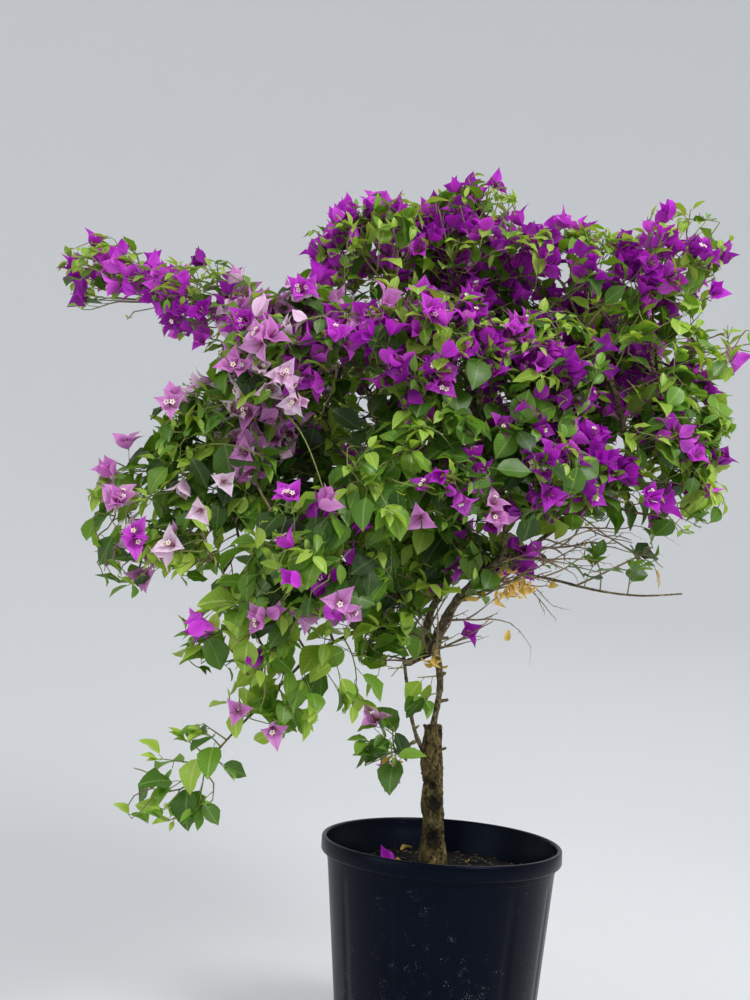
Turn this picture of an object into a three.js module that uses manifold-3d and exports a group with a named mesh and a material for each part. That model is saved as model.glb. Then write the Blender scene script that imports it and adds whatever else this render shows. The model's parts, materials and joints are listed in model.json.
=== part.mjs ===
// A bougainvillea bush in a plastic nursery pot: an old cut-back trunk, a few thin
// limbs and a wide crown of leaves and bracts, heavier and weeping on its left.
//
// Millimetres, +Z up. The origin is the centre of the pot's flat underside, the front
// of the plant looks along -Y and its left is -X. Each limb is one tapering solid, and
// each mass of foliage is one closed uneven solid with its own place and half sizes.

import * as THREE from 'three';
import { mergeVertices } from 'three/addons/utils/BufferGeometryUtils.js';
import Module from 'manifold-3d';

const wasm = await Module();
wasm.setup();

// ---- Driving dimensions -----------------------------------------------------------

const GAP = 0.3; // clearance between pieces that touch

// The pot: a 300 mm nursery pot with a rolled rim and drain holes near its edge.
const POT_HEIGHT = 295;
const POT_BASE_RADIUS = 112;
const POT_NECK_RADIUS = 142.5; // outside of the wall, just under the rim
const RIM_RADIUS = 150;
const RIM_DEPTH = 18;
const RIM_WIDTH = 6;
const RIM_ROUNDING = 3;
const STEP_BELOW_RIM = 8; // depth of the thicker band that the rim grows out of
const STEP_OUT = 1.2; // how far that band stands out of the wall
const FOOT_ROUNDING = 3;
const WALL = 2.2;
const FLOOR = 3;
const POT_SIDES = 36;
const DRAIN_HOLES = 6;
const DRAIN_RADIUS = 7;
const DRAIN_SIDES = 10;
const DRAIN_CIRCLE = 92; // radius of the ring that the drain holes lie on

// The potting mix, level round the trunk and a little lower at the wall.
const SOIL_TOP = 262;
const SOIL_EDGE_DROP = 5;
const SOIL_LEVEL_RADIUS = 80;

// The trunk: a cut-back stub with horizontal rings, flared where it meets the soil.
const TRUNK_FOOT = [-8, 12];
const TRUNK_HEAD = [-17, 4];
const TRUNK_HEIGHT = 174;
const TRUNK_FOOT_RADIUS = 15;
const TRUNK_HEAD_RADIUS = 11;
const ROOT_FLARE = 4.5; // added to the radius at the soil
const FLARE_HEIGHT = 14; // height over which most of the flare dies away
const TRUNK_KNOBS = 0.07; // share of the radius that the knobs stand out
const TRUNK_SIDES = 10;
const TRUNK_RINGS = 8;

const LIMB_SIDES = 6;
const LIMB_STEP = 30; // length of limb between two rings

const UNEVENNESS = 0.1; // share of a mass's size that its lumps and dents reach
const MASS_DETAIL = 2; // subdivision of an ordinary mass
const PLAIN_DETAIL = 1; // subdivision of a small one, or of one inside the crown

// ---- Materials --------------------------------------------------------------------

const finish = (colour, roughness) =>
  new THREE.MeshStandardMaterial({ color: colour, roughness, metalness: 0 });

const FINISHES = {
  pot: () => finish(0x161c28, 0.35),
  soil: () => finish(0x2a221c, 0.95),
  bark: () => finish(0x6b5c49, 0.85),
  youngBark: () => finish(0x7c7a4c, 0.75),
  bloom: () => finish(0x8f2aa3, 0.7),
  fadedBloom: () => finish(0xb482b4, 0.75),
  leaf: () => finish(0x4b7a2c, 0.6),
  darkLeaf: () => finish(0x33551f, 0.65),
};

// ---- Solids -----------------------------------------------------------------------

/** A geometry with only its position left and its shared vertices merged. */
function welded(geometry) {
  const bare = geometry.clone();
  bare.deleteAttribute('normal');
  bare.deleteAttribute('uv');
  return mergeVertices(bare, 1e-4);
}

/** A closed geometry as a solid that can be joined and cut. */
function solidOf(geometry) {
  const shell = welded(geometry);
  return new wasm.Manifold(
    new wasm.Mesh({
      numProp: 3,
      vertProperties: Float32Array.from(shell.attributes.position.array),
      triVerts: Uint32Array.from(shell.index.array),
    }),
  );
}

/** A solid back as a geometry; where cutting left several bodies, the largest one. */
function geometryOf(solid) {
  const bodies = solid.decompose();
  const largest = bodies.reduce((a, b) => (a.volume() > b.volume() ? a : b));
  const mesh = largest.getMesh();
  const geometry = new THREE.BufferGeometry();
  geometry.setAttribute('position', new THREE.BufferAttribute(mesh.vertProperties, 3));
  geometry.setIndex(new THREE.BufferAttribute(mesh.triVerts, 1));
  geometry.computeVertexNormals();
  return geometry;
}

/** The same closed shape with its skin moved outwards by a distance. */
function grown(geometry, distance) {
  const shell = welded(geometry);
  shell.computeVertexNormals();
  const place = new THREE.Vector3();
  const normal = new THREE.Vector3();
  for (let i = 0; i < shell.attributes.position.count; i += 1) {
    place.fromBufferAttribute(shell.attributes.position, i);
    normal.fromBufferAttribute(shell.attributes.normal, i);
    place.addScaledVector(normal, distance);
    shell.attributes.position.setXYZ(i, place.x, place.y, place.z);
  }
  return shell;
}

/** The geometry less each of the others, with the usual clearance all round them. */
function clearOf(geometry, others) {
  geometry.computeBoundingBox();
  const near = others.filter((other) => {
    other.computeBoundingBox();
    return other.boundingBox.clone().expandByScalar(GAP).intersectsBox(geometry.boundingBox);
  });
  if (!near.length) {
    return geometry;
  }
  const cut = near.reduce(
    (solid, other) => solid.subtract(solidOf(grown(other, GAP))),
    solidOf(geometry),
  );
  return geometryOf(cut);
}

/** A named mesh that stands at a place, from a geometry made where it belongs. */
function piece(name, geometry, material, place = [0, 0, 0]) {
  const mesh = new THREE.Mesh(geometry.clone().translate(...place.map((c) => -c)), material);
  mesh.name = name;
  mesh.position.set(...place);
  return mesh;
}

// ---- Pot and soil -----------------------------------------------------------------

/** Outside radius of the pot's tapering wall at a height. */
function wallRadius(height) {
  const share = height / (POT_HEIGHT - RIM_DEPTH);
  return THREE.MathUtils.lerp(POT_BASE_RADIUS, POT_NECK_RADIUS, share);
}

/** A profile of radius and height turned about the pot's axis. */
function turned(profile) {
  const points = profile.map(([radius, height]) => new THREE.Vector2(radius, height));
  return new THREE.LatheGeometry(points, POT_SIDES).rotateX(Math.PI / 2);
}

function potGeometry() {
  const rimFoot = POT_HEIGHT - RIM_DEPTH;
  const step = rimFoot - STEP_BELOW_RIM;
  const shell = solidOf(
    turned([
      [0, 0],
      [POT_BASE_RADIUS - FOOT_ROUNDING, 0],
      [wallRadius(FOOT_ROUNDING), FOOT_ROUNDING],
      [wallRadius(step), step],
      [wallRadius(step) + STEP_OUT, step + STEP_OUT],
      [POT_NECK_RADIUS + STEP_OUT, rimFoot],
      [RIM_RADIUS - RIM_ROUNDING / 2, rimFoot + RIM_ROUNDING / 2],
      [RIM_RADIUS, POT_HEIGHT - RIM_ROUNDING],
      [RIM_RADIUS - RIM_ROUNDING, POT_HEIGHT],
      [RIM_RADIUS - RIM_WIDTH, POT_HEIGHT - RIM_ROUNDING / 2],
      [POT_NECK_RADIUS - WALL, rimFoot],
      [wallRadius(FLOOR) - WALL, FLOOR],
      [0, FLOOR],
    ]),
  );
  const holes = Array.from({ length: DRAIN_HOLES }, (_, i) => {
    const turn = ((i + 0.5) / DRAIN_HOLES) * 2 * Math.PI;
    return solidOf(
      new THREE.CylinderGeometry(DRAIN_RADIUS, DRAIN_RADIUS, FLOOR * 4, DRAIN_SIDES)
        .rotateX(Math.PI / 2)
        .translate(DRAIN_CIRCLE * Math.cos(turn), DRAIN_CIRCLE * Math.sin(turn), 0),
    );
  });
  return geometryOf(holes.reduce((solid, hole) => solid.subtract(hole), shell));
}

function soilGeometry() {
  const foot = FLOOR + GAP;
  const edge = SOIL_TOP - SOIL_EDGE_DROP;
  const inside = (height) => wallRadius(height) - WALL - GAP;
  return turned([
    [0, foot],
    [inside(foot), foot],
    [inside(edge), edge],
    [SOIL_LEVEL_RADIUS, SOIL_TOP],
    [0, SOIL_TOP],
  ]);
}

// ---- Trunk and limbs --------------------------------------------------------------

/** The trunk: a leaning, knobby stub with a level foot and head. */
function trunkGeometry() {
  const bar = new THREE.CylinderGeometry(1, 1, 1, TRUNK_SIDES, TRUNK_RINGS);
  const place = new THREE.Vector3();
  for (let i = 0; i < bar.attributes.position.count; i += 1) {
    place.fromBufferAttribute(bar.attributes.position, i);
    const share = place.y + 0.5;
    const height = share * TRUNK_HEIGHT;
    const turn = Math.atan2(place.z, place.x);
    const knobs = Math.sin(3 * turn + share * 7) * Math.cos(share * 19 + turn);
    const straight = THREE.MathUtils.lerp(TRUNK_FOOT_RADIUS, TRUNK_HEAD_RADIUS, share);
    const flare = ROOT_FLARE * Math.exp(-height / FLARE_HEIGHT);
    const radius = straight * (1 + TRUNK_KNOBS * knobs) + flare;
    bar.attributes.position.setXYZ(
      i,
      THREE.MathUtils.lerp(TRUNK_FOOT[0], TRUNK_HEAD[0], share) + radius * place.x,
      THREE.MathUtils.lerp(TRUNK_FOOT[1], TRUNK_HEAD[1], share) - radius * place.z,
      SOIL_TOP + GAP + height,
    );
  }
  return welded(bar);
}

/** One round limb along a run of places, thick at its start and thin at its end. */
function limbGeometry({ run, thick, thin }) {
  const corners = run.map((place) => new THREE.Vector3(...place));
  const path = new THREE.CatmullRomCurve3(corners, false, 'centripetal');
  const steps = Math.max(2, Math.ceil(path.getLength() / LIMB_STEP));
  const frames = path.computeFrenetFrames(steps);
  const bar = new THREE.CylinderGeometry(1, 1, 1, LIMB_SIDES, steps);
  const place = new THREE.Vector3();
  for (let i = 0; i < bar.attributes.position.count; i += 1) {
    place.fromBufferAttribute(bar.attributes.position, i);
    const share = place.y + 0.5;
    const ring = Math.round(share * steps);
    const radius = THREE.MathUtils.lerp(thick, thin, share);
    const skin = path
      .getPointAt(ring / steps)
      .addScaledVector(frames.normals[ring], place.x * radius)
      .addScaledVector(frames.binormals[ring], -place.z * radius);
    bar.attributes.position.setXYZ(i, skin.x, skin.y, skin.z);
  }
  return welded(bar);
}

// Each limb's run, from where it leaves the wood below it to where it enters a mass.
// A limb is cut to sit against those before it in the list.
const STUB_TOP = SOIL_TOP + GAP + TRUNK_HEIGHT;
const LIMBS = [
  {
    name: 'leader',
    run: [[-16, 4, STUB_TOP + GAP], [-12, 0, 466], [-10, 0, 492], [-13, 0, 510], [-22, 0, 534]],
    thick: 4.6,
    thin: 7,
  },
  {
    name: 'left_stem',
    run: [
      [-20, 6, 392],
      [-34, 2, 410],
      [-46, 2, 445],
      [-53, 6, 485],
      [-60, 12, 527],
      [-64, 14, 572],
      [-78, 18, 620],
    ],
    thick: 4,
    thin: 2.4,
  },
  {
    name: 'low_limb',
    run: [[-22, 2, 528], [-38, 12, 519], [-56, 9, 508]],
    thick: 6.5,
    thin: 5,
  },
  {
    name: 'left_bough',
    run: [[-24, 0, 528], [-32, 0, 557], [-20, 0, 596], [-3, 0, 620], [10, 4, 655]],
    thick: 6.5,
    thin: 5,
  },
  {
    name: 'right_bough',
    run: [[-19, -4, 526], [-17, -12, 551], [-3, -17, 580], [8, -20, 600], [30, -22, 622], [62, -24, 654]],
    thick: 7.5,
    thin: 5,
  },
  {
    name: 'bare_side_limb',
    run: [[6, -20, 600], [36, -24, 606], [64, -20, 617], [92, -12, 634]],
    thick: 2.8,
    thin: 1.8,
  },
  {
    name: 'long_bare_twig',
    run: [[86, -12, 632], [122, -2, 630], [185, 0, 618], [245, 0, 614], [299, 0, 620]],
    thick: 2.6,
    thin: 1.3,
  },
  {
    name: 'right_low_limb',
    run: [[52, -22, 644], [96, -4, 668], [140, 8, 702], [190, 6, 738]],
    thick: 3.6,
    thin: 2.4,
  },
  {
    name: 'weeping_limb',
    run: [[-60, 8, 540], [-95, -6, 556], [-135, -30, 540], [-177, -52, 514]],
    thick: 3.2,
    thin: 2.4,
    finish: 'youngBark',
  },
  {
    name: 'weeping_twig',
    run: [[-205, -64, 482], [-240, -72, 442], [-271, -80, 406], [-292, -80, 376]],
    thick: 2.3,
    thin: 1.4,
    finish: 'youngBark',
  },
  {
    name: 'low_side_twig',
    run: [[-36, 2, 416], [-48, -8, 408], [-64, -16, 400]],
    thick: 2.2,
    thin: 1.6,
    finish: 'youngBark',
  },
];

// ---- Masses of foliage ------------------------------------------------------------

/** How far a mass reaches in a direction, as a share of its plain rounded form. */
function reach(direction, seed) {
  let sum = 0;
  for (let wave = 1; wave <= 4; wave += 1) {
    const turn = seed * 2.4 + wave * 1.9;
    const slope = Math.sin(seed * 1.7 + wave);
    const across = direction.x * Math.cos(turn) + direction.y * Math.sin(turn);
    sum += Math.sin((1.4 + wave) * (across + slope * direction.z) + seed * wave);
  }
  return 1 + (UNEVENNESS * sum) / 2;
}

/** One uneven mass about its own centre, turned in the plane of the front by tilt. */
function massGeometry({ at, half, tilt = 0, plain = false }, seed) {
  const ball = welded(new THREE.IcosahedronGeometry(1, plain ? PLAIN_DETAIL : MASS_DETAIL));
  const place = new THREE.Vector3();
  for (let i = 0; i < ball.attributes.position.count; i += 1) {
    place.fromBufferAttribute(ball.attributes.position, i);
    place.multiplyScalar(reach(place, seed));
    ball.attributes.position.setXYZ(i, place.x * half[0], place.y * half[1], place.z * half[2]);
  }
  return ball.rotateY(THREE.MathUtils.degToRad(-tilt)).translate(...at);
}

// Centre and half sizes of each mass; a positive tilt raises its right end. A mass is
// cut to sit against the limbs and against the masses before it in the list.
const MASSES = [
  { name: 'crown_top', at: [-5, 20, 1078], half: [86, 85, 84], finish: 'bloom' },
  { name: 'crown_top_left', at: [-130, -10, 1038], half: [88, 75, 78], tilt: 25, finish: 'bloom' },
  { name: 'crown_top_right', at: [132, 30, 1038], half: [88, 85, 78], finish: 'bloom' },
  { name: 'right_crest', at: [268, 10, 1065], half: [86, 65, 68], tilt: 20, finish: 'bloom' },
  { name: 'crown_core', at: [30, 60, 920], half: [110, 90, 95], plain: true, finish: 'darkLeaf' },
  { name: 'heart', at: [82, -65, 885], half: [92, 85, 80], finish: 'bloom' },
  { name: 'front_bloom', at: [-62, -120, 890], half: [88, 80, 78], finish: 'bloom' },
  { name: 'left_bloom', at: [-214, -86, 878], half: [94, 82, 86], finish: 'fadedBloom' },
  { name: 'right_shoulder', at: [266, 10, 926], half: [94, 75, 70], finish: 'bloom' },
  { name: 'right_mid', at: [268, 0, 822], half: [90, 70, 56], finish: 'leaf' },
  { name: 'right_low', at: [266, -10, 740], half: [74, 52, 44], tilt: 8, finish: 'leaf' },
  { name: 'arm_root', at: [-340, -34, 962], half: [86, 50, 50], tilt: -10, finish: 'bloom' },
  { name: 'arm_tip', at: [-470, -8, 996], half: [74, 38, 52], tilt: -6, finish: 'bloom' },
  { name: 'left_mid', at: [-300, -60, 778], half: [90, 75, 74], finish: 'leaf' },
  { name: 'left_fringe', at: [-405, -50, 672], half: [58, 42, 80], tilt: -8, finish: 'fadedBloom' },
  { name: 'left_shelf', at: [-310, -65, 648], half: [62, 48, 60], finish: 'leaf' },
  { name: 'front_low', at: [-56, -125, 745], half: [92, 75, 72], finish: 'leaf' },
  { name: 'right_front_low', at: [72, -80, 762], half: [86, 70, 64], finish: 'leaf' },
  { name: 'front_skirt', at: [-165, -115, 630], half: [86, 68, 74], finish: 'leaf' },
  { name: 'left_inner', at: [-180, 20, 745], half: [90, 80, 85], plain: true, finish: 'darkLeaf' },
  { name: 'low_heart', at: [-25, 10, 672], half: [84, 62, 60], plain: true, finish: 'darkLeaf' },
  { name: 'stem_leaves', at: [-92, 30, 590], half: [46, 38, 56], plain: true, finish: 'darkLeaf' },
  { name: 'weeping_top', at: [-252, -80, 545], half: [84, 46, 52], tilt: 10, finish: 'leaf' },
  { name: 'weeping_foot', at: [-222, -78, 474], half: [46, 28, 42], plain: true, finish: 'leaf' },
  { name: 'weeping_tip', at: [-328, -80, 354], half: [66, 30, 40], tilt: 15, finish: 'leaf' },
  { name: 'low_sprig', at: [-82, -20, 402], half: [40, 26, 46], plain: true, finish: 'darkLeaf' },
  { name: 'dry_spray', at: [118, 0, 674], half: [72, 36, 30], tilt: 12, plain: true, finish: 'leaf' },
  { name: 'right_sprig', at: [236, 0, 674], half: [56, 28, 30], tilt: 5, plain: true, finish: 'leaf' },
  { name: 'right_tip', at: [348, 0, 956], half: [40, 24, 28], tilt: 15, plain: true, finish: 'leaf' },
  { name: 'back_top', at: [0, 185, 1045], half: [112, 85, 90], finish: 'bloom' },
  { name: 'back_right', at: [200, 168, 965], half: [112, 88, 96], finish: 'bloom' },
  { name: 'back_left', at: [-185, 165, 930], half: [110, 85, 95], finish: 'bloom' },
  { name: 'back_middle', at: [-20, 225, 850], half: [112, 80, 90], plain: true, finish: 'leaf' },
  { name: 'back_low_right', at: [148, 140, 798], half: [108, 82, 84], plain: true, finish: 'leaf' },
  { name: 'back_low_left', at: [-225, 130, 770], half: [100, 75, 80], plain: true, finish: 'leaf' },
  { name: 'back_foot', at: [-45, 122, 730], half: [90, 74, 62], plain: true, finish: 'darkLeaf' },
];

// ---- The plant --------------------------------------------------------------------

const pottedBase = new THREE.Group();
pottedBase.add(piece('pot', potGeometry(), FINISHES.pot()));
pottedBase.add(piece('soil', soilGeometry(), FINISHES.soil()));

const wood = new THREE.Group();
const whole = [trunkGeometry()]; // every piece before it was cut by its neighbours
wood.add(piece('trunk', whole[0], FINISHES.bark(), [...TRUNK_FOOT, SOIL_TOP]));
for (const limb of LIMBS) {
  const bar = limbGeometry(limb);
  const material = FINISHES[limb.finish ?? 'bark']();
  wood.add(piece(limb.name, clearOf(bar, whole), material, limb.run[0]));
  whole.push(bar);
}

const crown = new THREE.Group();
MASSES.forEach((mass, i) => {
  const body = massGeometry(mass, i + 1);
  crown.add(piece(mass.name, clearOf(body, whole), FINISHES[mass.finish](), mass.at));
  whole.push(body);
});

const bougainvillea = new THREE.Group();
bougainvillea.add(pottedBase, wood, crown);

export default bougainvillea;
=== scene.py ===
"""A bougainvillea bush in its plastic nursery pot.

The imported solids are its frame: the pot, the soil, the trunk, the limbs and the masses of
foliage. This script gives the pot and the bark their finish, and fills each mass with
branches that grow on from the limbs and carry leaves, papery bracts and small cream flowers.
Everything is in metres.
"""

import json
import math
import random
from dataclasses import dataclass

import bmesh
import bpy
import numpy as np
from mathutils import Matrix, Vector, noise
from mathutils.bvhtree import BVHTree

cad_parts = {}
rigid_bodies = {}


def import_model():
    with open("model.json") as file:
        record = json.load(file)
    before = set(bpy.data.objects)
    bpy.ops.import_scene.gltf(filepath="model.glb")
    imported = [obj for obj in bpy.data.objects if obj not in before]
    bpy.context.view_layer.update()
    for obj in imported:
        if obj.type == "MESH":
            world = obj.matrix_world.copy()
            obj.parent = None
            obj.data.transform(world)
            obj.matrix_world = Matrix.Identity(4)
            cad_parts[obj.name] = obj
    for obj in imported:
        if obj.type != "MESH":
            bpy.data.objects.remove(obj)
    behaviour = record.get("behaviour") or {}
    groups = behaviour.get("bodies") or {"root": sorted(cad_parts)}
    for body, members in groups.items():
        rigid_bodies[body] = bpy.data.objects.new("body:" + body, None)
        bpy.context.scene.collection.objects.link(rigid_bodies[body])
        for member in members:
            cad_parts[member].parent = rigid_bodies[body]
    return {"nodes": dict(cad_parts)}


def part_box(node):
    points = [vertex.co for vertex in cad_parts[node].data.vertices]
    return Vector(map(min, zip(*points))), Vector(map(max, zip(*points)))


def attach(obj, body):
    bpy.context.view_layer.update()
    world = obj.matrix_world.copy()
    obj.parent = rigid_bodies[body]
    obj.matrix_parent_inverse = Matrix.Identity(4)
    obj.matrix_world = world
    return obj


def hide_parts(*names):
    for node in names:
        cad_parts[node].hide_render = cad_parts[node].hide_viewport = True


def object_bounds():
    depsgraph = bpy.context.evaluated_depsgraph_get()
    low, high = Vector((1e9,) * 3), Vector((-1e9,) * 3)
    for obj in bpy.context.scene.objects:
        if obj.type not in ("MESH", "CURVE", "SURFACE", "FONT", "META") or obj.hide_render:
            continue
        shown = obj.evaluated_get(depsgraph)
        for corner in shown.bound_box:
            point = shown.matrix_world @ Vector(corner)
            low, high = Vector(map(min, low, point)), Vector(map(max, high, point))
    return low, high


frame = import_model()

CAD_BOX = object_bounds()
BODY = "root"
MAP = "OFBake"
# the trunk's attribute of painted shade, dark in each sunken hollow and in the dip of its cut top
HOLLOW_SHADE = "hollow"
SEED = 41

# ---- Finishes ----


def paint(red, green, blue):
    """A colour named by its red, green and blue on the usual scale of 255, made linear."""
    linear = []
    for level in (red, green, blue):
        share = level / 255
        linear.append(share / 12.92 if share <= 0.04045 else ((share + 0.055) / 1.055) ** 2.4)
    return (*linear, 1.0)


class Reading:
    """A socket that can be reckoned with: each sum adds one Math node."""

    def __init__(self, finish, node, output=0):
        self.finish = finish
        self.node = node
        self.output = output

    @property
    def socket(self):
        return self.node.outputs[self.output]

    def other(self, output):
        return Reading(self.finish, self.node, output)

    def __add__(self, value):
        return self.finish.maths("ADD", self, value)

    __radd__ = __add__

    def __sub__(self, value):
        return self.finish.maths("SUBTRACT", self, value)

    def __rsub__(self, value):
        return self.finish.maths("SUBTRACT", value, self)

    def __mul__(self, value):
        return self.finish.maths("MULTIPLY", self, value)

    __rmul__ = __mul__

    def __truediv__(self, value):
        return self.finish.maths("DIVIDE", self, value)


class Finish:
    """A material being mixed. Its node method adds any node, and the rest are short for it."""

    def __init__(self, name):
        self.material = bpy.data.materials.new(name)
        self.material.use_nodes = True
        self.tree = self.material.node_tree
        self.tree.nodes.clear()

    def node(self, kind, settings=None, values=None, output=0):
        """Adds a node: its settings first, then the values or links of its sockets."""
        node = self.tree.nodes.new(kind)
        for name, setting in (settings or {}).items():
            setattr(node, name, setting)
        for name, value in (values or {}).items():
            if isinstance(value, Reading):
                self.tree.links.new(value.socket, node.inputs[name])
            else:
                node.inputs[name].default_value = value
        return Reading(self, node, output)

    def maths(self, operation, *values):
        return self.node("ShaderNodeMath", {"operation": operation}, dict(enumerate(values)))

    def rise(self, value, low, high):
        """0 under low, 1 over high, with a smooth slope between."""
        settings = {"interpolation_type": "SMOOTHSTEP"}
        values = {"Value": value, "From Min": low, "From Max": high}
        return self.node("ShaderNodeMapRange", settings, values)

    def blend(self, share, first, second):
        """The first colour where share is 0, the second where it is 1."""
        values = {0: share, 6: first, 7: second}
        return self.node("ShaderNodeMix", {"data_type": "RGBA"}, values, output=2)

    def body_place(self):
        return self.node("ShaderNodeTexCoord", output="Object")

    def map_place(self):
        return self.node("ShaderNodeUVMap", {"uv_map": MAP})

    def stretched(self, place, by):
        return self.node("ShaderNodeVectorMath", {"operation": "MULTIPLY"}, {0: place, 1: by})

    def grain(self, place, scale, detail=3.0, roughness=0.55):
        values = {"Vector": place, "Scale": scale, "Detail": detail, "Roughness": roughness}
        return self.node("ShaderNodeTexNoise", values=values)

    def relief(self, height, distance, strength):
        values = {"Height": height, "Distance": distance, "Strength": strength}
        return self.node("ShaderNodeBump", values=values)

    def shader(self, colour, roughness, **others):
        """A surface. Its other sockets go by their names, with a low line for each space."""
        values = {"Base Color": colour, "Roughness": roughness}
        for name, value in others.items():
            values[name.replace("_", " ")] = value
        return self.node("ShaderNodeBsdfPrincipled", values=values)

    def done(self, shader):
        self.node("ShaderNodeOutputMaterial", values={"Surface": shader})
        return self.material


def pot_plastic():
    """Navy black moulded plastic with fine scuffs and white dust, thickest near the foot."""
    finish = Finish("navy pot plastic")
    place = finish.body_place()
    height = finish.node("ShaderNodeSeparateXYZ", values={0: place}, output="Z")
    specks = finish.node("ShaderNodeTexVoronoi", values={"Vector": place, "Scale": 560.0})
    chance = finish.grain(place, 70.0, 2.0)
    patches = finish.grain(place, 9.0, 3.0)
    low_down = 1 - finish.rise(height, 0.05, 0.25)
    cover = finish.rise(chance + 0.20 * low_down + 0.3 * patches, 0.76, 0.94)
    dust = (1 - finish.rise(specks, 0.14, 0.26)) * cover
    film = finish.rise(patches + 0.2 * low_down, 0.5, 0.9) * 0.25
    scuffs = finish.grain(finish.stretched(place, (60.0, 60.0, 3.0)), 2.0, 2.0)
    shade = finish.blend(film, paint(3, 5, 15), paint(10, 15, 30))
    colour = finish.blend(dust * 0.7, shade, paint(170, 175, 182))
    roughness = 0.24 + 0.12 * scuffs + 0.35 * dust + 0.2 * film
    sheen = {"Specular_IOR_Level": 0.10, "Specular_Tint": (0.55, 0.7, 1.0, 1)}
    grain = finish.relief(scuffs + 0.4 * chance, 0.0002, 0.3)
    return finish.done(finish.shader(colour, roughness, Normal=grain, **sheen))


def potting_mix():
    """Dark damp mix of fine crumbs with paler fibres."""
    finish = Finish("dark potting mix")
    place = finish.body_place()
    crumbs = finish.grain(place, 160.0, 6.0, 0.7)
    clods = finish.grain(place, 38.0, 4.0)
    fibres = finish.rise(finish.grain(finish.stretched(place, (1, 4, 1)), 90.0, 3.0), 0.66, 0.74)
    shade = finish.blend(crumbs, paint(2, 2, 2), paint(13, 11, 9))
    colour = finish.blend(fibres * 0.3, shade, paint(70, 55, 40))
    bumps = finish.relief(crumbs + clods, 0.004, 0.9)
    return finish.done(finish.shader(colour, 0.93, Normal=bumps, Specular_IOR_Level=0.15))


def old_bark(name, stretch, low, high, shade_in_hollows=False):
    """Flaky bark with dark grooves, pale patches and yellowish scars; where asked, painted shade turns it
    black in each hollow.
    """
    finish = Finish(name)
    place = finish.body_place()
    drawn = finish.stretched(place, (1.0, 1.0, stretch))
    grooves = finish.grain(drawn, 75.0, 6.0, 0.65)
    flakes = finish.rise(finish.grain(drawn, 250.0, 5.0, 0.7), 0.36, 0.62)
    patches = finish.grain(place, 30.0, 4.0, 0.6)
    flecks = finish.grain(place, 230.0, 3.0)
    dark = 1 - finish.rise(grooves, 0.38, 0.54)
    pale = finish.rise(patches, 0.5, 0.66)
    black = 1 - finish.rise(patches, 0.32, 0.42)
    scars = finish.rise(flecks * patches, 0.34, 0.40)
    shade = finish.blend(flakes, paint(*low), paint(*high))
    shade = finish.blend(pale * flakes * 0.55, shade, paint(152, 138, 92))
    shade = finish.blend(dark * 0.6, shade, paint(30, 25, 16))
    shade = finish.blend(black * 0.7, shade, paint(18, 15, 10))
    shade = finish.blend(scars * 0.8, shade, paint(176, 150, 92))
    # painted shade: black where the trunk's attribute marks a sunken hollow or the dip of its cut top
    if shade_in_hollows:
        depth = finish.node("ShaderNodeAttribute", {"attribute_name": HOLLOW_SHADE}, output="Fac")
        edges = 1.2 * (flecks - 0.5) + 0.9 * (grooves - 0.5) + 0.35 * (flakes - 0.5)
        ragged_shade = finish.rise(depth + edges, 0.36, 0.46)
        shade = finish.blend(ragged_shade * 0.9, shade, paint(9, 8, 6))
    relief = finish.relief(grooves + 0.7 * flakes + 0.3 * flecks, 0.0022, 0.9)
    return finish.done(finish.shader(shade, 0.88, Normal=relief, Specular_IOR_Level=0.25))


def leaf_place(finish):
    """Where a point lies on its leaf: how far along, how far from the midrib, which tint."""
    square = finish.map_place()
    column = finish.node("ShaderNodeSeparateXYZ", values={0: square}, output="X")
    tiles = column * TILES
    tile = finish.maths("FLOOR", tiles)
    away = finish.maths("ABSOLUTE", tiles - tile - 0.5) * 2
    return square, column.other("Y"), away, tile / (TILES - 1)


def side_veins(finish, along, away, count, lean, edge):
    """Veins that lean from the midrib towards the tip."""
    waves = (along * count - away * lean) * (2 * math.pi)
    return finish.rise(finish.maths("COSINE", waves), edge, 0.98)


def thin_sheet(finish, colour, roughness, glow, share):
    """A leaf's surface, which lets a share of the light through."""
    surface = finish.shader(colour, roughness, Specular_IOR_Level=0.4)
    through = finish.node("ShaderNodeBsdfTranslucent", values={"Color": glow})
    return finish.done(finish.node("ShaderNodeMixShader", values={0: share, 1: surface, 2: through}))


def leaf_green(name, *colours):
    """A leaf's green, with a pale midrib and veins. Its colours: young, old, vein, glow."""
    young, old, vein, glow = [paint(*colour) for colour in colours]
    finish = Finish(name)
    square, along, away, tint = leaf_place(finish)
    midrib = 1 - finish.rise(away, 0.03, 0.09)
    veins = side_veins(finish, along, away, 8, 2.6, 0.82) * (1 - finish.rise(away, 0.55, 0.9))
    mottle = finish.grain(square, 22.0, 2.0)
    shade = finish.blend(0.75 * tint + 0.4 * (mottle - 0.5), old, young)
    colour = finish.blend(midrib * 0.6 + veins * 0.28, shade, vein)
    return thin_sheet(finish, colour, 0.42, glow, 0.28)


def bract_paper(name, *colours):
    """A bract's papery colour, painted deep at its base as shade and pale to its rim as highlight. Its
    colours: deep, pale, vein, glow.
    """
    deep, pale, vein, glow = [paint(*colour) for colour in colours]
    finish = Finish(name)
    square, along, away, tint = leaf_place(finish)
    midrib = 1 - finish.rise(away, 0.02, 0.08)
    veins = side_veins(finish, along, away, 6, 2.0, 0.7)
    # painted highlight towards the edges and tip; the base and midrib stay deep as painted shade
    rim = finish.rise(away + 0.35 * along, 0.45, 1.2)
    mottle = finish.grain(square, 16.0, 2.0)
    shade = finish.blend(0.45 * tint + 0.55 * rim + 0.5 * (mottle - 0.5), deep, pale)
    colour = finish.blend(midrib * 0.6 + veins * 0.3, shade, vein)
    return thin_sheet(finish, colour, 0.62, glow, 0.36)


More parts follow.
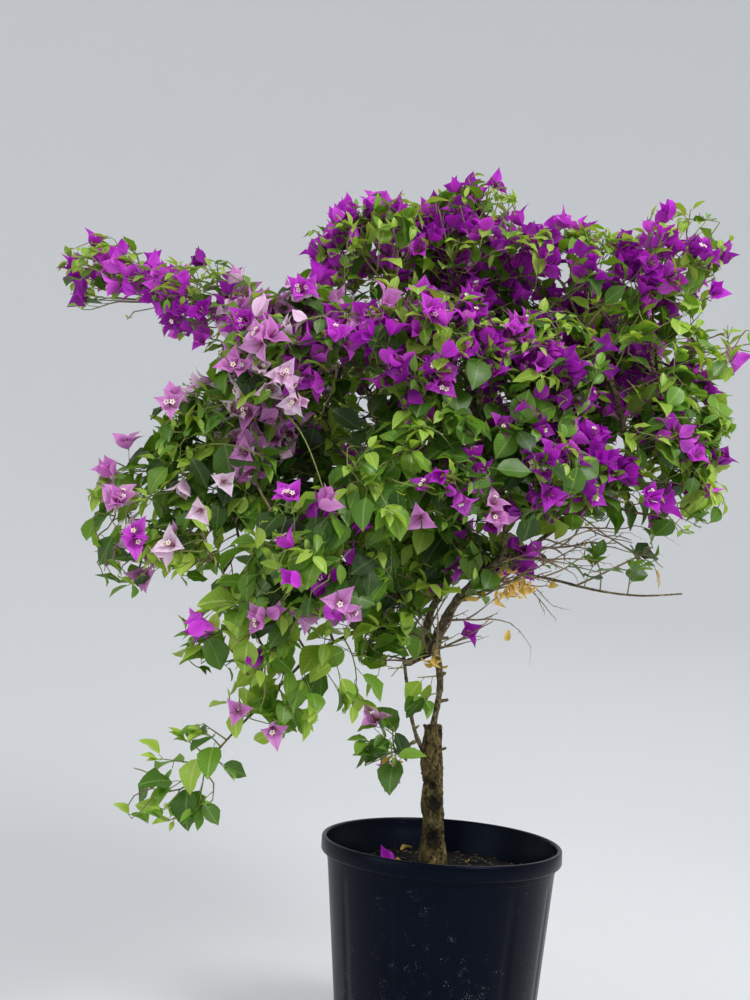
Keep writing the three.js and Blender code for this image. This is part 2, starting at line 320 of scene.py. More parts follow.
def twig_bark(name, light, dark):
    """A young twig's thin bark, mottled along its length."""
    finish = Finish(name)
    mottle = finish.grain(finish.stretched(finish.map_place(), (4.0, 9.0, 1.0)), 2.2, 3.0)
    colour = finish.blend(finish.rise(mottle, 0.35, 0.65), paint(*dark), paint(*light))
    return finish.done(finish.shader(colour, 0.7))


TILES = 4  # tints of each leaf colour, side by side on its map
GREENS = {
    "dark": leaf_green("dark leaf", (52, 82, 26), (28, 52, 14), (94, 122, 62), (64, 98, 16)),
    "mid": leaf_green("green leaf", (80, 120, 36), (48, 84, 22), (122, 154, 76), (98, 144, 22)),
    "fresh": leaf_green("fresh leaf", (122, 164, 52), (80, 126, 34), (162, 192, 100), (142, 188, 38)),
    "lime": leaf_green("lime leaf", (172, 204, 80), (128, 168, 48), (204, 220, 130), (188, 214, 60)),
}
# Each bract: its name, its deep colour at the base and pale colour at the rim, which paint shade and
# highlight on its own purple, then its veins and the light it lets through.
BRACT_COLOURS = {
    # the purple bract darkened as painted shade, for trusses deep in the crown
    "deep": ("purple bract darkened as painted shade", (128, 12, 138), (178, 38, 192), (78, 4, 90), (176, 26, 192)),
    "vivid": ("purple bract", (168, 24, 182), (216, 68, 228), (114, 8, 130), (220, 42, 230)),
    "bright": ("bright purple bract", (204, 52, 214), (240, 124, 244), (146, 22, 160), (240, 80, 242)),
    "mauve": ("mauve bract", (208, 122, 200), (242, 192, 236), (158, 78, 152), (240, 156, 230)),
    "pale": ("pale faded bract", (246, 204, 238), (255, 244, 254), (206, 148, 194), (255, 226, 248)),
}
HUES = {hue: bract_paper(*row) for hue, row in BRACT_COLOURS.items()}
FLOWER = leaf_green("cream flower", (252, 249, 236), (246, 240, 214), (240, 230, 190), (252, 248, 226))
FLOWER_TUBE = bract_paper("flower tube", (150, 70, 130), (204, 150, 150), (120, 50, 100), (190, 110, 150))
DRY = bract_paper("dry yellow leaf", (216, 178, 76), (244, 220, 138), (168, 124, 50), (242, 206, 92))
TWIG = twig_bark("tan twig", (150, 130, 98), (92, 74, 54))
SHOOT = twig_bark("green shoot", (132, 146, 70), (96, 100, 50))
LITTER = twig_bark("dark litter", (70, 56, 40), (22, 17, 13))
TRUNK_BARK = old_bark("trunk bark", 0.5, (40, 34, 18), (124, 110, 64), shade_in_hollows=True)
LIMB_BARK = old_bark("limb bark", 0.8, (72, 62, 44), (132, 118, 88))
YOUNG_BARK = old_bark("young limb bark", 0.8, (84, 82, 44), (136, 134, 78))

# ---- Making pieces ----


def nothing_selected():
    if bpy.context.mode != "OBJECT":
        bpy.ops.object.mode_set(mode="OBJECT")
    bpy.ops.object.select_all(action="DESELECT")


def alone(piece):
    """Selects one piece and nothing else."""
    nothing_selected()
    piece.select_set(True)
    bpy.context.view_layer.objects.active = piece


def select_faces(piece, wanted):
    """Selects the faces that the test passes, with their edges and corners, in edit mode."""
    mesh = bmesh.from_edit_mesh(piece.data)
    mesh.select_mode = {"FACE"}
    for part in (*mesh.verts, *mesh.edges, *mesh.faces):
        part.select = False
    for face in mesh.faces:
        face.select_set(wanted(face))
    mesh.select_flush_mode()
    bmesh.update_edit_mesh(piece.data)


def raise_rings(ring, rings):
    """Extrudes the selected ring of edges through each radius and height in turn."""
    for radius, height in rings:
        share = radius / ring[0]
        lift = (0, 0, height - ring[1])
        bpy.ops.mesh.extrude_region_move(TRANSFORM_OT_translate={"value": lift})
        bpy.ops.transform.resize(value=(share, share, 1), center_override=(0, 0, height))
        ring = (radius, height)


def settle(piece):
    """Puts a piece's place, turn and size into its mesh."""
    alone(piece)
    bpy.ops.object.transform_apply(location=True, rotation=True, scale=True)


def enter(piece, name, finish, slot, nodes):
    """Names a finished piece, dresses it and ties it to the frame."""
    piece.name = name
    piece.data.name = name
    piece.data.materials.clear()
    piece.data.materials.append(finish)
    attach(piece, BODY)
    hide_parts(*nodes)


MOST_TRIANGLES = 185000  # in one joined mesh


class Pile:
    """Corners and faces of one kind of small part, kept until they are joined in one mesh."""

    def __init__(self, name, finish, slot, nodes, mapped=True):
        self.name = name
        self.finish = finish
        self.slot = slot
        self.nodes = sorted(nodes)
        self.mapped = mapped  # whether its pattern reads the map
        self.parts = []

    def add(self, part):
        """Adds a part: its corners, map places, triangles and quads."""
        self.parts.append(part)

    def add_form(self, form, frame_of, tile):
        """Adds a copy of a form, set by the 3 by 4 matrix of its axes and place."""
        corners = form.corners @ frame_of[:, :3].T + frame_of[:, 3]
        places = form.places.copy()
        places[:, 0] = (tile + places[:, 0]) / TILES
        self.add((corners, places, form.triangles, form.quads))

    def make(self):
        """Joins the pile in as few meshes as the most triangles for one allow."""
        groups = []
        room = 0
        for part in self.parts:
            size = len(part[2]) + 2 * len(part[3])
            if size > room:
                groups.append([])
                room = MOST_TRIANGLES
            groups[-1].append(part)
            room -= size
        for i, group in enumerate(groups):
            self.join(self.name if len(groups) == 1 else f"{self.name}_{i + 1}", group)

    def join(self, name, parts):
        """Joins parts in one smooth mesh, with the map that its pattern reads."""
        firsts = np.cumsum([0] + [len(part[0]) for part in parts])
        corners = np.concatenate([part[0] for part in parts])
        places = np.concatenate([part[1] for part in parts])
        triangles = np.concatenate([part[2] + first for part, first in zip(parts, firsts)])
        quads = np.concatenate([part[3] + first for part, first in zip(parts, firsts)])
        loops = np.concatenate([triangles.ravel(), quads.ravel()]).astype(np.int32)
        sides = np.repeat([3, 4], [len(triangles), len(quads)])
        mesh = bpy.data.meshes.new(name)
        mesh.vertices.add(len(corners))
        mesh.vertices.foreach_set("co", corners.astype(np.float32).ravel())
        mesh.loops.add(len(loops))
        mesh.loops.foreach_set("vertex_index", loops)
        mesh.polygons.add(len(sides))
        mesh.polygons.foreach_set("loop_start", (np.cumsum(sides) - sides).astype(np.int32))
        if self.mapped:
            layer = mesh.uv_layers.new(name=MAP)
            layer.data.foreach_set("uv", places[loops].astype(np.float32).ravel())
        mesh.update(calc_edges=True)
        mesh.validate()
        mesh.shade_smooth()
        piece = bpy.data.objects.new(name, mesh)
        bpy.context.scene.collection.objects.link(piece)
        enter(piece, name, self.finish, self.slot, self.nodes)


# ---- Vectors ----

UP = np.array([0.0, 0.0, 1.0])


def unit(vector):
    return vector / max(float(np.sqrt(vector @ vector)), 1e-9)


def across(vector, other):
    """The cross product of two vectors."""
    a, b, c = vector
    x, y, z = other
    return np.array([b * z - c * y, c * x - a * z, a * y - b * x])


def any_way(dice):
    return unit(np.array([dice.gauss(0, 1) for _ in range(3)]))


def leaf_frame(place, forward, face, size):
    """Axes for a leaf that points forward with its upper side to face."""
    forward = unit(forward)
    side = across(forward, face)
    if side @ side < 1e-6:
        side = across(forward, UP + 0.1)
    side = unit(side)
    face = across(side, forward)
    return np.column_stack([side * size, forward * size, face * size, place])


def bell_frame(place, axis, turn, size):
    """Axes for a flower that opens along the axis, turned about it."""
    axis = unit(axis)
    side = unit(across(axis, np.array([0.3, 0.8, 0.5]) if abs(axis[1]) < 0.8 else UP))
    other = across(axis, side)
    side, other = (
        side * math.cos(turn) + other * math.sin(turn),
        other * math.cos(turn) - side * math.sin(turn),
    )
    return np.column_stack([side * size, other * size, axis * size, place])


def tube(points, radii, sides, closed_tip=True):
    """A tube round a run of points, as corners, map places, triangles and quads."""
    points = np.asarray(points, float)
    radii = np.asarray(radii, float)
    runs = np.gradient(points, axis=0)
    runs /= np.maximum(np.linalg.norm(runs, axis=1), 1e-9)[:, None]
    side = across(runs[0], UP if abs(runs[0][2]) < 0.9 else np.array([1.0, 0.0, 0.0]))
    angles = np.arange(sides) * (2 * math.pi / sides)
    rings = []
    for run, point, radius in zip(runs, points, radii):
        side = unit(side - run * (side @ run))
        other = across(run, side)
        spokes = np.outer(np.cos(angles), side) + np.outer(np.sin(angles), other)
        rings.append(point + spokes * radius)
    corners = np.concatenate(rings)
    steps = len(points)
    along = np.repeat(np.linspace(0, 1, steps), sides)
    around = np.tile(np.abs(np.linspace(-1, 1, sides, endpoint=False)), steps)
    places = np.column_stack([around, along])
    here = (np.arange(steps - 1)[:, None] * sides + np.arange(sides)).ravel()
    after = (np.arange(steps - 1)[:, None] * sides + (np.arange(sides) + 1) % sides).ravel()
    quads = np.column_stack([here, after, after + sides, here + sides])
    triangles = np.zeros((0, 3), int)
    if closed_tip:
        tip = points[-1] + runs[-1] * radii[-1] * 0.8
        corners = np.vstack([corners, tip])
        places = np.vstack([places, [0.5, 1.0]])
        last = (steps - 1) * sides + np.arange(sides)
        turned = (steps - 1) * sides + (np.arange(sides) + 1) % sides
        triangles = np.column_stack([last, turned, np.full(sides, len(corners) - 1)])
    return corners, places, triangles, quads


# ---- The pot and its soil ----

POT_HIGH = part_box("pot")[1]
POT_TOP = POT_HIGH.z
RIM_RADIUS = POT_HIGH.x
FOOT_RADIUS = 0.112
NECK_RADIUS = 0.1425
RIM_DEPTH = 0.018
RIM_WIDTH = 0.006
RIM_TURN = 0.0028  # radius of the rim's rounding
WALL = 0.0022
FLOOR = 0.003
STEP_DROP = 0.008
STEP_OUT = 0.0009
POT_SIDES = 144
RIBS = 12
RIB_SIDES = 2  # of the pot's sides that each rib takes
RIB_DEPTH = 0.0002
RIB_EDGE = 0.0008
RIB_TOP, RIB_FOOT = 0.258, 0.02
DRAIN_HOLES = 6
DRAIN_RADIUS = 0.007
DRAIN_CIRCLE = 0.092
DRAIN_SIDES = 24
SHARP_EDGE = math.radians(38)


def wall_radius(height):
    """The outside of the pot's wall at a height."""
    return FOOT_RADIUS + (NECK_RADIUS - FOOT_RADIUS) * height / (POT_TOP - RIM_DEPTH)


def rolled(degrees, edge, inward, height):
    """A place on the rim's rounding, which starts at an edge and curves inward or outward."""
    turn = math.radians(degrees)
    return edge - inward * RIM_TURN * (1 - math.cos(turn)), height + RIM_TURN * math.sin(turn)


def pot_rings():
    """The radius and height of each of the pot's rings, up its outside and down its inside."""
    neck = POT_TOP - RIM_DEPTH
    step = neck - STEP_DROP
    inner_top = RIM_RADIUS - RIM_WIDTH
    rings = [(FOOT_RADIUS - 0.0009, 0.0009)]
    rings += [(wall_radius(h), h) for h in (0.003, 0.012, RIB_FOOT, 0.1, 0.18, RIB_TOP, step)]
    rings += [(wall_radius(step) + STEP_OUT, step + 0.0008)]
    rings += [(wall_radius(neck) + STEP_OUT, neck - 0.0006)]
    rings += [rolled(degrees, RIM_RADIUS, 1, neck + RIM_TURN) for degrees in (-75, -45, -15)]
    rings += [rolled(degrees, RIM_RADIUS, 1, POT_TOP - RIM_TURN) for degrees in (15, 45, 75, 90)]
    rings += [rolled(degrees, inner_top, -1, POT_TOP - RIM_TURN) for degrees in (90, 60, 30, 0)]
    rings += [(inner_top - 0.0004, neck + 0.004)]
    rings += [(wall_radius(neck) - WALL, neck - 0.002)]
    rings += [(wall_radius(h) - WALL, h) for h in (0.18, 0.1, FLOOR + 0.004)]
    return rings + [(wall_radius(FLOOR) - WALL - 0.004, FLOOR)]


def on_rib(face):
    """Whether a face of the wall lies on one of its ribs."""
    middle = face.calc_center_median()
    outside = math.hypot(middle.x, middle.y) > wall_radius(middle.z) - WALL / 2
    if not (outside and RIB_FOOT < middle.z < RIB_TOP and abs(face.normal.z) < 0.5):
        return False
    side = int((math.atan2(middle.y, middle.x) % (2 * math.pi)) * POT_SIDES / (2 * math.pi))
    return side % (POT_SIDES // RIBS) < RIB_SIDES


def drain_drill():
    """Pegs in one piece that cut the drain holes."""
    pegs = []
    for i in range(DRAIN_HOLES):
        turn = (i + 0.5) / DRAIN_HOLES * 2 * math.pi
        place = (DRAIN_CIRCLE * math.cos(turn), DRAIN_CIRCLE * math.sin(turn), 0)
        bpy.ops.mesh.primitive_cylinder_add(
            vertices=DRAIN_SIDES, radius=DRAIN_RADIUS, depth=6 * FLOOR, location=place
        )
        pegs.append(bpy.context.object)
    alone(pegs[0])
    for peg in pegs:
        peg.select_set(True)
    bpy.ops.object.join()
    settle(pegs[0])
    return pegs[0]


def make_pot():
    """A tapering pot: raised ring by ring, with a rolled rim, faint ribs and drain holes."""
    nothing_selected()
    bpy.ops.mesh.primitive_circle_add(vertices=POT_SIDES, radius=FOOT_RADIUS - 0.003)
    pot = bpy.context.object
    bpy.ops.object.mode_set(mode="EDIT")
    raise_rings((FOOT_RADIUS - 0.003, 0.0), pot_rings())
    bpy.ops.mesh.select_all(action="SELECT")
    bpy.ops.mesh.fill_holes(sides=0)
    bpy.ops.mesh.normals_make_consistent(inside=False)
    select_faces(pot, on_rib)
    bpy.ops.mesh.inset(thickness=RIB_EDGE, depth=-RIB_DEPTH)
    nothing_selected()
    drill = drain_drill()
    cut = pot.modifiers.new("drain holes", "BOOLEAN")
    cut.operation = "DIFFERENCE"
    cut.solver = "EXACT"
    cut.object = drill
    alone(pot)
    bpy.ops.object.modifier_apply(modifier=cut.name)
    bpy.data.objects.remove(drill)
    bpy.ops.object.shade_smooth_by_angle(angle=SHARP_EDGE)
    settle(pot)
    enter(pot, "nursery_pot", pot_plastic(), "pot_plastic", ["pot"])


SOIL_LOW, SOIL_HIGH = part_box("soil")
SOIL_TOP = SOIL_HIGH.z
SOIL_RADIUS = (SOIL_HIGH.x - SOIL_LOW.x) / 2
SOIL_RINGS = 26
SOIL_SIDES = 96
SOIL_LUMP = 0.0035


def soil_level(x, y):
    """The lumpy top of the soil, which falls a little towards the pot's wall."""
    away = math.hypot(x, y) / SOIL_RADIUS
    lumps = noise.fractal(Vector((x, y, 0.3)) * 34, 0.8, 2.1, 4)
    return SOIL_TOP - 0.002 - 0.0045 * away**3 + SOIL_LUMP * (lumps - 0.55)


def make_soil():
    """A plug of soil with a lumpy top that closes the pot."""
    nothing_selected()
    bpy.ops.mesh.primitive_cylinder_add(
        vertices=SOIL_SIDES,
        radius=SOIL_RADIUS - 0.0005,
        depth=SOIL_TOP - SOIL_LOW.z - 0.001,
        location=(0, 0, (SOIL_TOP + SOIL_LOW.z) / 2),
    )
    soil = bpy.context.object
    bpy.ops.object.mode_set(mode="EDIT")
    select_faces(soil, lambda face: face.normal.z < -0.5)
    share = (wall_radius(SOIL_LOW.z) - WALL - 0.0015) / SOIL_RADIUS
    bpy.ops.transform.resize(value=(share, share, 1), center_override=(0, 0, SOIL_LOW.z))
    select_faces(soil, lambda face: face.normal.z > 0.5)
    for _ in range(SOIL_RINGS):
        bpy.ops.mesh.inset(thickness=SOIL_RADIUS / (SOIL_RINGS + 1))
    settle(soil)
    for corner in soil.data.vertices:
        if corner.co.z > SOIL_TOP - 0.01:
            corner.co.z = soil_level(corner.co.x, corner.co.y)
    bpy.ops.object.shade_smooth()
    enter(soil, "potting_soil", potting_mix(), "potting_mix", ["soil"])


# ---- Leaf, bract and flower forms ----


class Form:
    """A small shape that is copied many times: corners, map places, triangles and quads."""

    def __init__(self, corners, places, triangles, quads):
        self.corners = np.asarray(corners, float)
        self.places = np.asarray(places, float)
        self.triangles = np.asarray(triangles, int).reshape(-1, 3)
        self.quads = np.asarray(quads, int).reshape(-1, 4)


def chip_form():
    """A flat, broken crumb of bark or wood."""
    corners = [(-0.5, -0.9, 0.0), (0.45, -0.75, 0.05), (0.6, 0.5, 0.0), (-0.2, 1.0, 0.04)]
    corners += [(-0.35, -0.6, 0.3), (0.3, -0.5, 0.34), (0.35, 0.4, 0.28), (-0.15, 0.6, 0.3)]
    quads = [(3, 2, 1, 0), (4, 5, 6, 7)]
    quads += [(i, (i + 1) % 4, 4 + (i + 1) % 4, 4 + i) for i in range(4)]
    places = [(0.5 + 0.4 * x, 0.5 + 0.4 * y) for x, y, _ in corners]
    return Form(corners, places, [], quads)


def strip_faces(first, rows):
    """The faces of a strip three corners wide that comes to a point at both ends."""
    last = first + 3 * rows + 1
    triangles = [(first, first + 2, first + 1), (first, first + 3, first + 2)]
    triangles += [(last - 3, last - 2, last), (last - 2, last - 1, last)]
    quads = []
    for a in range(first + 1, last - 3, 3):
        quads += [(a, a + 1, a + 4, a + 3), (a + 1, a + 2, a + 5, a + 4)]
    return triangles, quads


LEAF_STATIONS = (0.0, 0.08, 0.22, 0.4, 0.58, 0.75, 0.89, 1.0)
LEAF_WIDTHS = (0.0, 0.40, 0.82, 1.0, 0.90, 0.61, 0.25, 0.0)
LEAF_ROWS = len(LEAF_STATIONS) - 2


def blade(half_width, start, bend, fold, wave, twist):
    """A leaf along +Y with its upper side to +Z: two halves that meet at the midrib."""
    corners = []
    places = []
    spot = np.zeros(3)
    before = 0.0
    for i, (station, width) in enumerate(zip(LEAF_STATIONS, LEAF_WIDTHS)):
        angle = start - bend * station
        spot = spot + np.array([0.0, math.cos(angle), math.sin(angle)]) * (station - before)
        before = station
        half = half_width * width
        lean = twist * station
        rise = np.array([0.0, -math.sin(angle), math.cos(angle)])
        for side in (-1, 0, 1) if half else (0,):
            lift = abs(side) * half * fold + side * half * math.sin(lean)
            lift += abs(side) * half * wave * math.sin(i * 2.2 + side)
            shift = np.array([side * half * math.cos(lean), 0.0, 0.0])
            corners.append(spot + shift + rise * lift)
            places.append((0.5 + 0.46 * side * width, station))
    return Form(corners, places, *strip_faces(0, LEAF_ROWS))


# Leaves: half their width, slope at the foot, bend, fold at the midrib, waves of the rim, twist.
LEAF_SHAPES = (
    (0.34, 0.20, 0.55, 0.22, 0.10, 0.10),
    (0.37, 0.30, 0.85, 0.30, 0.14, -0.15),
    (0.31, 0.10, 0.25, 0.14, 0.16, 0.20),
    (0.35, 0.35, 1.15, 0.38, 0.10, 0.00),
    (0.33, 0.05, -0.10, 0.34, 0.12, -0.25),
    (0.40, 0.25, 0.65, 0.18, 0.18, 0.15),
)
YOUNG_SHAPES = (
    (0.26, 0.25, 0.45, 0.55, 0.08, 0.10),
    (0.23, 0.40, 0.10, 0.70, 0.06, -0.10),
    (0.29, 0.10, 0.80, 0.45, 0.12, 0.20),
)
DRY_SHAPES = (
    (0.15, 0.3, 1.9, 0.9, 0.50, 1.6),
    (0.12, 0.1, 1.2, 1.2, 0.60, -2.4),
    (0.19, 0.6, 2.6, 0.8, 0.60, 1.4),
    (0.10, 0.2, 0.6, 1.4, 0.80, 3.0),
)
LEAF_FORMS = [blade(*shape) for shape in LEAF_SHAPES]
YOUNG_FORMS = [blade(*shape) for shape in YOUNG_SHAPES]
DRY_FORMS = [blade(*shape) for shape in DRY_SHAPES]
BRACT_STATIONS = (0.0, 0.1, 0.26, 0.44, 0.62, 0.78, 0.9, 1.0)
BRACT_WIDTHS = (0.0, 0.46, 0.86, 1.0, 0.80, 0.42, 0.15, 0.0)
BRACT_ROWS = len(BRACT_STATIONS) - 2
BRACT_HALF_WIDTH = 0.31


def bract_bell(opening, flare, uneven, dice):
    """Three keeled bracts round the +Z axis: a bell whose pointed tips turn out."""
    corners = []
    places = []
    triangles = []
    quads = []
    for bract in range(3):
        turn = bract * 2 * math.pi / 3 + dice.uniform(-0.1, 0.1) * uneven
        wide = opening + dice.uniform(-0.16, 0.16) * uneven
        long = 1 + dice.uniform(-0.08, 0.08) * uneven
        lean = dice.uniform(-0.35, 0.35) * uneven
        three, four = strip_faces(len(corners), BRACT_ROWS)
        triangles += [(a, c, b) for a, b, c in three]
        quads += [(a, d, c, b) for a, b, c, d in four]
        out, rise, before = 0.02, 0.0, 0.0
        for station, width in zip(BRACT_STATIONS, BRACT_WIDTHS):
            angle = wide * (0.35 + 0.75 * math.sin(min(station * 1.9, 1.57)))
            angle += flare * max(station - 0.55, 0) ** 1.5 * 2.4
            reach = (station - before) * long
            out += math.sin(angle) * reach
            rise += math.cos(angle) * reach
            before = station
            half = BRACT_HALF_WIDTH * width
            for side in (-1, 0, 1) if half else (0,):
                edge = abs(side) * half
                spoke = max(out - edge * (0.62 - 0.30 * station), 0.577 * edge)
                swing = side * half + lean * station**2 * 0.25
                x = spoke * math.cos(turn) - swing * math.sin(turn)
                y = spoke * math.sin(turn) + swing * math.cos(turn)
                z = rise + edge * (0.14 + 0.1 * math.sin(3 * station + side))
                corners.append((x, y, z))
                places.append((0.5 + 0.46 * side * width, station))
    return Form(corners, places, triangles, quads)


# Bells: how wide they open, how their tips turn out, how uneven their bracts are.
OPEN_SHAPES = ((0.62, 0.9, 1.0), (0.78, 1.0, 1.0), (0.52, 1.2, 1.0), (0.70, 0.5, 1.4), (0.92, 0.8, 1.2))
SHUT_SHAPES = ((0.26, 0.4, 0.6), (0.34, 0.9, 0.8), (0.18, 0.2, 0.5))
form_dice = random.Random(SEED)
OPEN_BELLS = [bract_bell(*shape, form_dice) for shape in OPEN_SHAPES]
SHUT_BELLS = [bract_bell(*shape, form_dice) for shape in SHUT_SHAPES]
FLOWER_POINTS = 10  # of its five lobes, out and in by turns
FLOWER_RADIUS = 0.125
FLOWER_HEIGHT = 0.56


def flower_star():
    """The small star of a flower, a shallow dish of five lobes facing +Z."""
    corners = [(0.0, 0.0, FLOWER_HEIGHT - 0.03)]
    for i in range(FLOWER_POINTS):
        turn = i * 2 * math.pi / FLOWER_POINTS
        radius = FLOWER_RADIUS * (1.0 if i % 2 else 0.62)
        height = FLOWER_HEIGHT + 0.02 * (i % 2)
        corners.append((radius * math.cos(turn), radius * math.sin(turn), height))
    triangles = [(0, 1 + i, 1 + (i + 1) % FLOWER_POINTS) for i in range(FLOWER_POINTS)]
    places = [(0.5 + 2 * x, 0.5 + 2 * y) for x, y, _ in corners]
    return Form(corners, places, triangles, [])


STAR = flower_star()
TUBE_LINE = [(0, 0, 0.02), (0, 0, 0.3), (0, 0, FLOWER_HEIGHT - 0.02)]
TUBE_FORM = Form(*tube(TUBE_LINE, [0.03, 0.045, 0.035], 5))
CHIP = chip_form()

# ---- Trunk and limbs ----

SLICES = 26
LIMB_STEP = 0.0035
LIMB_SIDES = 14
TRUNK_SIDES = 96
TRUNK_RINGS = 140
TRUNK_TOP_RINGS = 6
GROOVE_DEPTH = 0.0015
LUMP_HEIGHT = 0.0012
TRUNK_SLIM = 0.93  # the bark's share of the solid's thickness, as its knots stand out of it
TRUNK_LOW, TRUNK_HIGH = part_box("trunk")
TRUNK_LENGTH = TRUNK_HIGH.z - TRUNK_LOW.z
# Runs of bark: the axis that a limb runs along and which way, how much its foot swells, the
# bark's share of the solid's thickness, and the limb that goes on from its tip, if one does.
RUNS = {
    "leader": (2, 1, 0.45, 0.72),
    "left_stem": (2, 1, 1.1, 0.66),
    "low_limb": (0, -1, 0.5, 0.85),
    "left_bough": (2, 1, 0.35, 0.85),
    "right_bough": (2, 1, 0.35, 0.88),
    "bare_side_limb": (0, 1, 0.4, 0.80, "long_bare_twig"),
    "right_low_limb": (0, 1, 0.4, 0.88),
    "weeping_limb": (0, -1, 0.4, 0.80, "weeping_twig"),
    "low_side_twig": (0, -1, 0.9, 0.85),
}
YOUNG_LIMBS = ("weeping_limb", "weeping_twig", "low_side_twig")
# Knots and scars on the trunk: share of its height, turn in degrees, width, lift, hollow; a hollow's
# depth also sets the painted shade in it.
KNOTS = (
    (0.95, -25, 0.005, 0.0020, 0.0030),
    (0.86, -60, 0.005, 0.0014, 0.0000),
    (0.80, 172, 0.010, 0.0044, 0.0000),
    (0.70, 190, 0.010, 0.0040, 0.0000),
    (0.68, -40, 0.006, 0.0016, 0.0000),
    (0.56, -94, 0.006, 0.0008, 0.0028),
    (0.50, -150, 0.007, 0.0022, 0.0000),
    (0.43, -82, 0.010, 0.0012, 0.0036),
    (0.42, 176, 0.009, 0.0030, 0.0000),
    (0.36, -30, 0.006, 0.0018, 0.0000),
    (0.29, -104, 0.005, 0.0034, 0.0000),
    (0.27, -76, 0.004, 0.0030, 0.0000),
    (0.18, -90, 0.012, 0.0008, 0.0050),
    (0.12, -20, 0.011, 0.0026, 0.0000),
    (0.06, -140, 0.010, 0.0028, 0.0000),
    (0.66, 40, 0.010, 0.0026, 0.0020),
    (0.34, 75, 0.009, 0.0024, 0.0034),
    (0.15, 120, 0.012, 0.0030, 0.0000),
)
# Cut spurs: the run they stand on, share of its length, turn in degrees, length, radius.
SPURS = (
    ("trunk", 0.80, -8, 0.0060, 0.0019),
    ("trunk", 0.62, 158, 0.0040, 0.0022),
    ("trunk", 0.97, 150, 0.0030, 0.0024),
    ("leader", 0.30, -12, 0.0090, 0.0022),
    ("leader", 0.62, 20, 0.0040, 0.0026),
    ("left_stem", 0.17, 10, 0.0050, 0.0014),
    ("left_stem", 0.26, 170, 0.0035, 0.0011),
    ("left_stem", 0.41, 0, 0.0040, 0.0012),
    ("low_limb", 0.5, 90, 0.0060, 0.0016),
    ("right_bough", 0.15, -20, 0.0080, 0.0022),
    ("left_bough", 0.22, 170, 0.0070, 0.0020),
)
# Twigs that stand bare on each limb: share, way they point, length, forks.
BARE_TWIGS = (
    (
        "leader",
        (0.93, (0.95, -0.25, 0.25), 0.088, 2),
        (0.98, (0.80, -0.35, 0.05), 0.050, 1),
        (0.99, (-0.30, -0.55, 0.75), 0.060, 2),
    ),
    (
        "right_bough",
        (0.04, (-0.15, -0.60, 0.80), 0.070, 2),
        (0.12, (0.55, -0.55, 0.65), 0.060, 1),
        (0.30, (0.95, -0.10, 0.22), 0.085, 3),
        (0.38, (0.60, -0.50, 0.70), 0.090, 3),
        (0.48, (0.98, 0.10, 0.05), 0.110, 3),
        (0.60, (0.90, -0.20, 0.40), 0.095, 3),
        (0.72, (0.92, 0.25, -0.02), 0.125, 4),
        (0.90, (0.95, -0.15, 0.12), 0.140, 4),
    ),
    (
        "right_low_limb",
        (0.35, (0.95, 0.05, -0.22), 0.130, 4),
        (0.60, (0.90, -0.15, 0.02), 0.115, 3),
        (0.20, (0.88, -0.30, -0.05), 0.100, 3),
    ),
    (
        "bare_side_limb",
        (0.12, (0.90, 0.20, 0.30), 0.120, 3),
        (0.30, (0.92, -0.20, 0.35), 0.100, 3),
        (0.42, (0.90, 0.15, 0.30), 0.080, 2),
    ),
    (
        "left_bough",
        (0.06, (-0.60, -0.45, 0.65), 0.075, 2),
        (0.18, (0.35, -0.60, 0.70), 0.065, 2),
        (0.35, (-0.80, -0.30, 0.35), 0.080, 2),
        (0.50, (-0.50, -0.60, 0.55), 0.070, 2),
    ),
    (
        "left_stem",
        (0.55, (-0.75, -0.45, 0.30), 0.070, 2),
        (0.70, (0.45, -0.55, 0.60), 0.055, 1),
    ),
    (
        "low_limb",
        (0.30, (-0.25, -0.60, 0.75), 0.070, 2),
        (0.80, (-0.85, -0.30, -0.10), 0.060, 1),
    ),
    (
        "left_stem",
        (0.80, (-0.85, -0.30, -0.15), 0.090, 2),
    ),
)
RING_SHARE = 1.04  # a round limb's radius, as a share of the mean one of its faceted ring
KNOT_GAPS = (0.017, 0.032)  # between the swollen joints of a limb
TOP_DEPTH = 0.006  # how far down the trunk its broken top reaches


def reach_along(points):
    """How far along a line each of its points lies."""
    gaps = np.linalg.norm(np.diff(points, axis=0), axis=1)
    return np.concatenate([[0], np.cumsum(gaps)])


class Run:
    """The centre points and radii of a limb from foot to tip, evenly spaced."""

    def __init__(self, points, radii):
        reach = reach_along(points)
        self.length = reach[-1]
        at = np.linspace(0, self.length, max(int(self.length / LIMB_STEP), 4))
        self.points = np.column_stack([np.interp(at, reach, points[:, k]) for k in range(3)])
        self.radii = np.interp(at, reach, radii)
        for _ in range(3):
            middle = (self.points[:-2] + 2 * self.points[1:-1] + self.points[2:]) / 4
            self.points[1:-1] = middle

    def spot(self, share):
        """The point, heading and radius at a share of the length."""
        i = min(int(share * (len(self.points) - 1)), len(self.points) - 2)
        return self.points[i], unit(self.points[i + 1] - self.points[i]), self.radii[i]


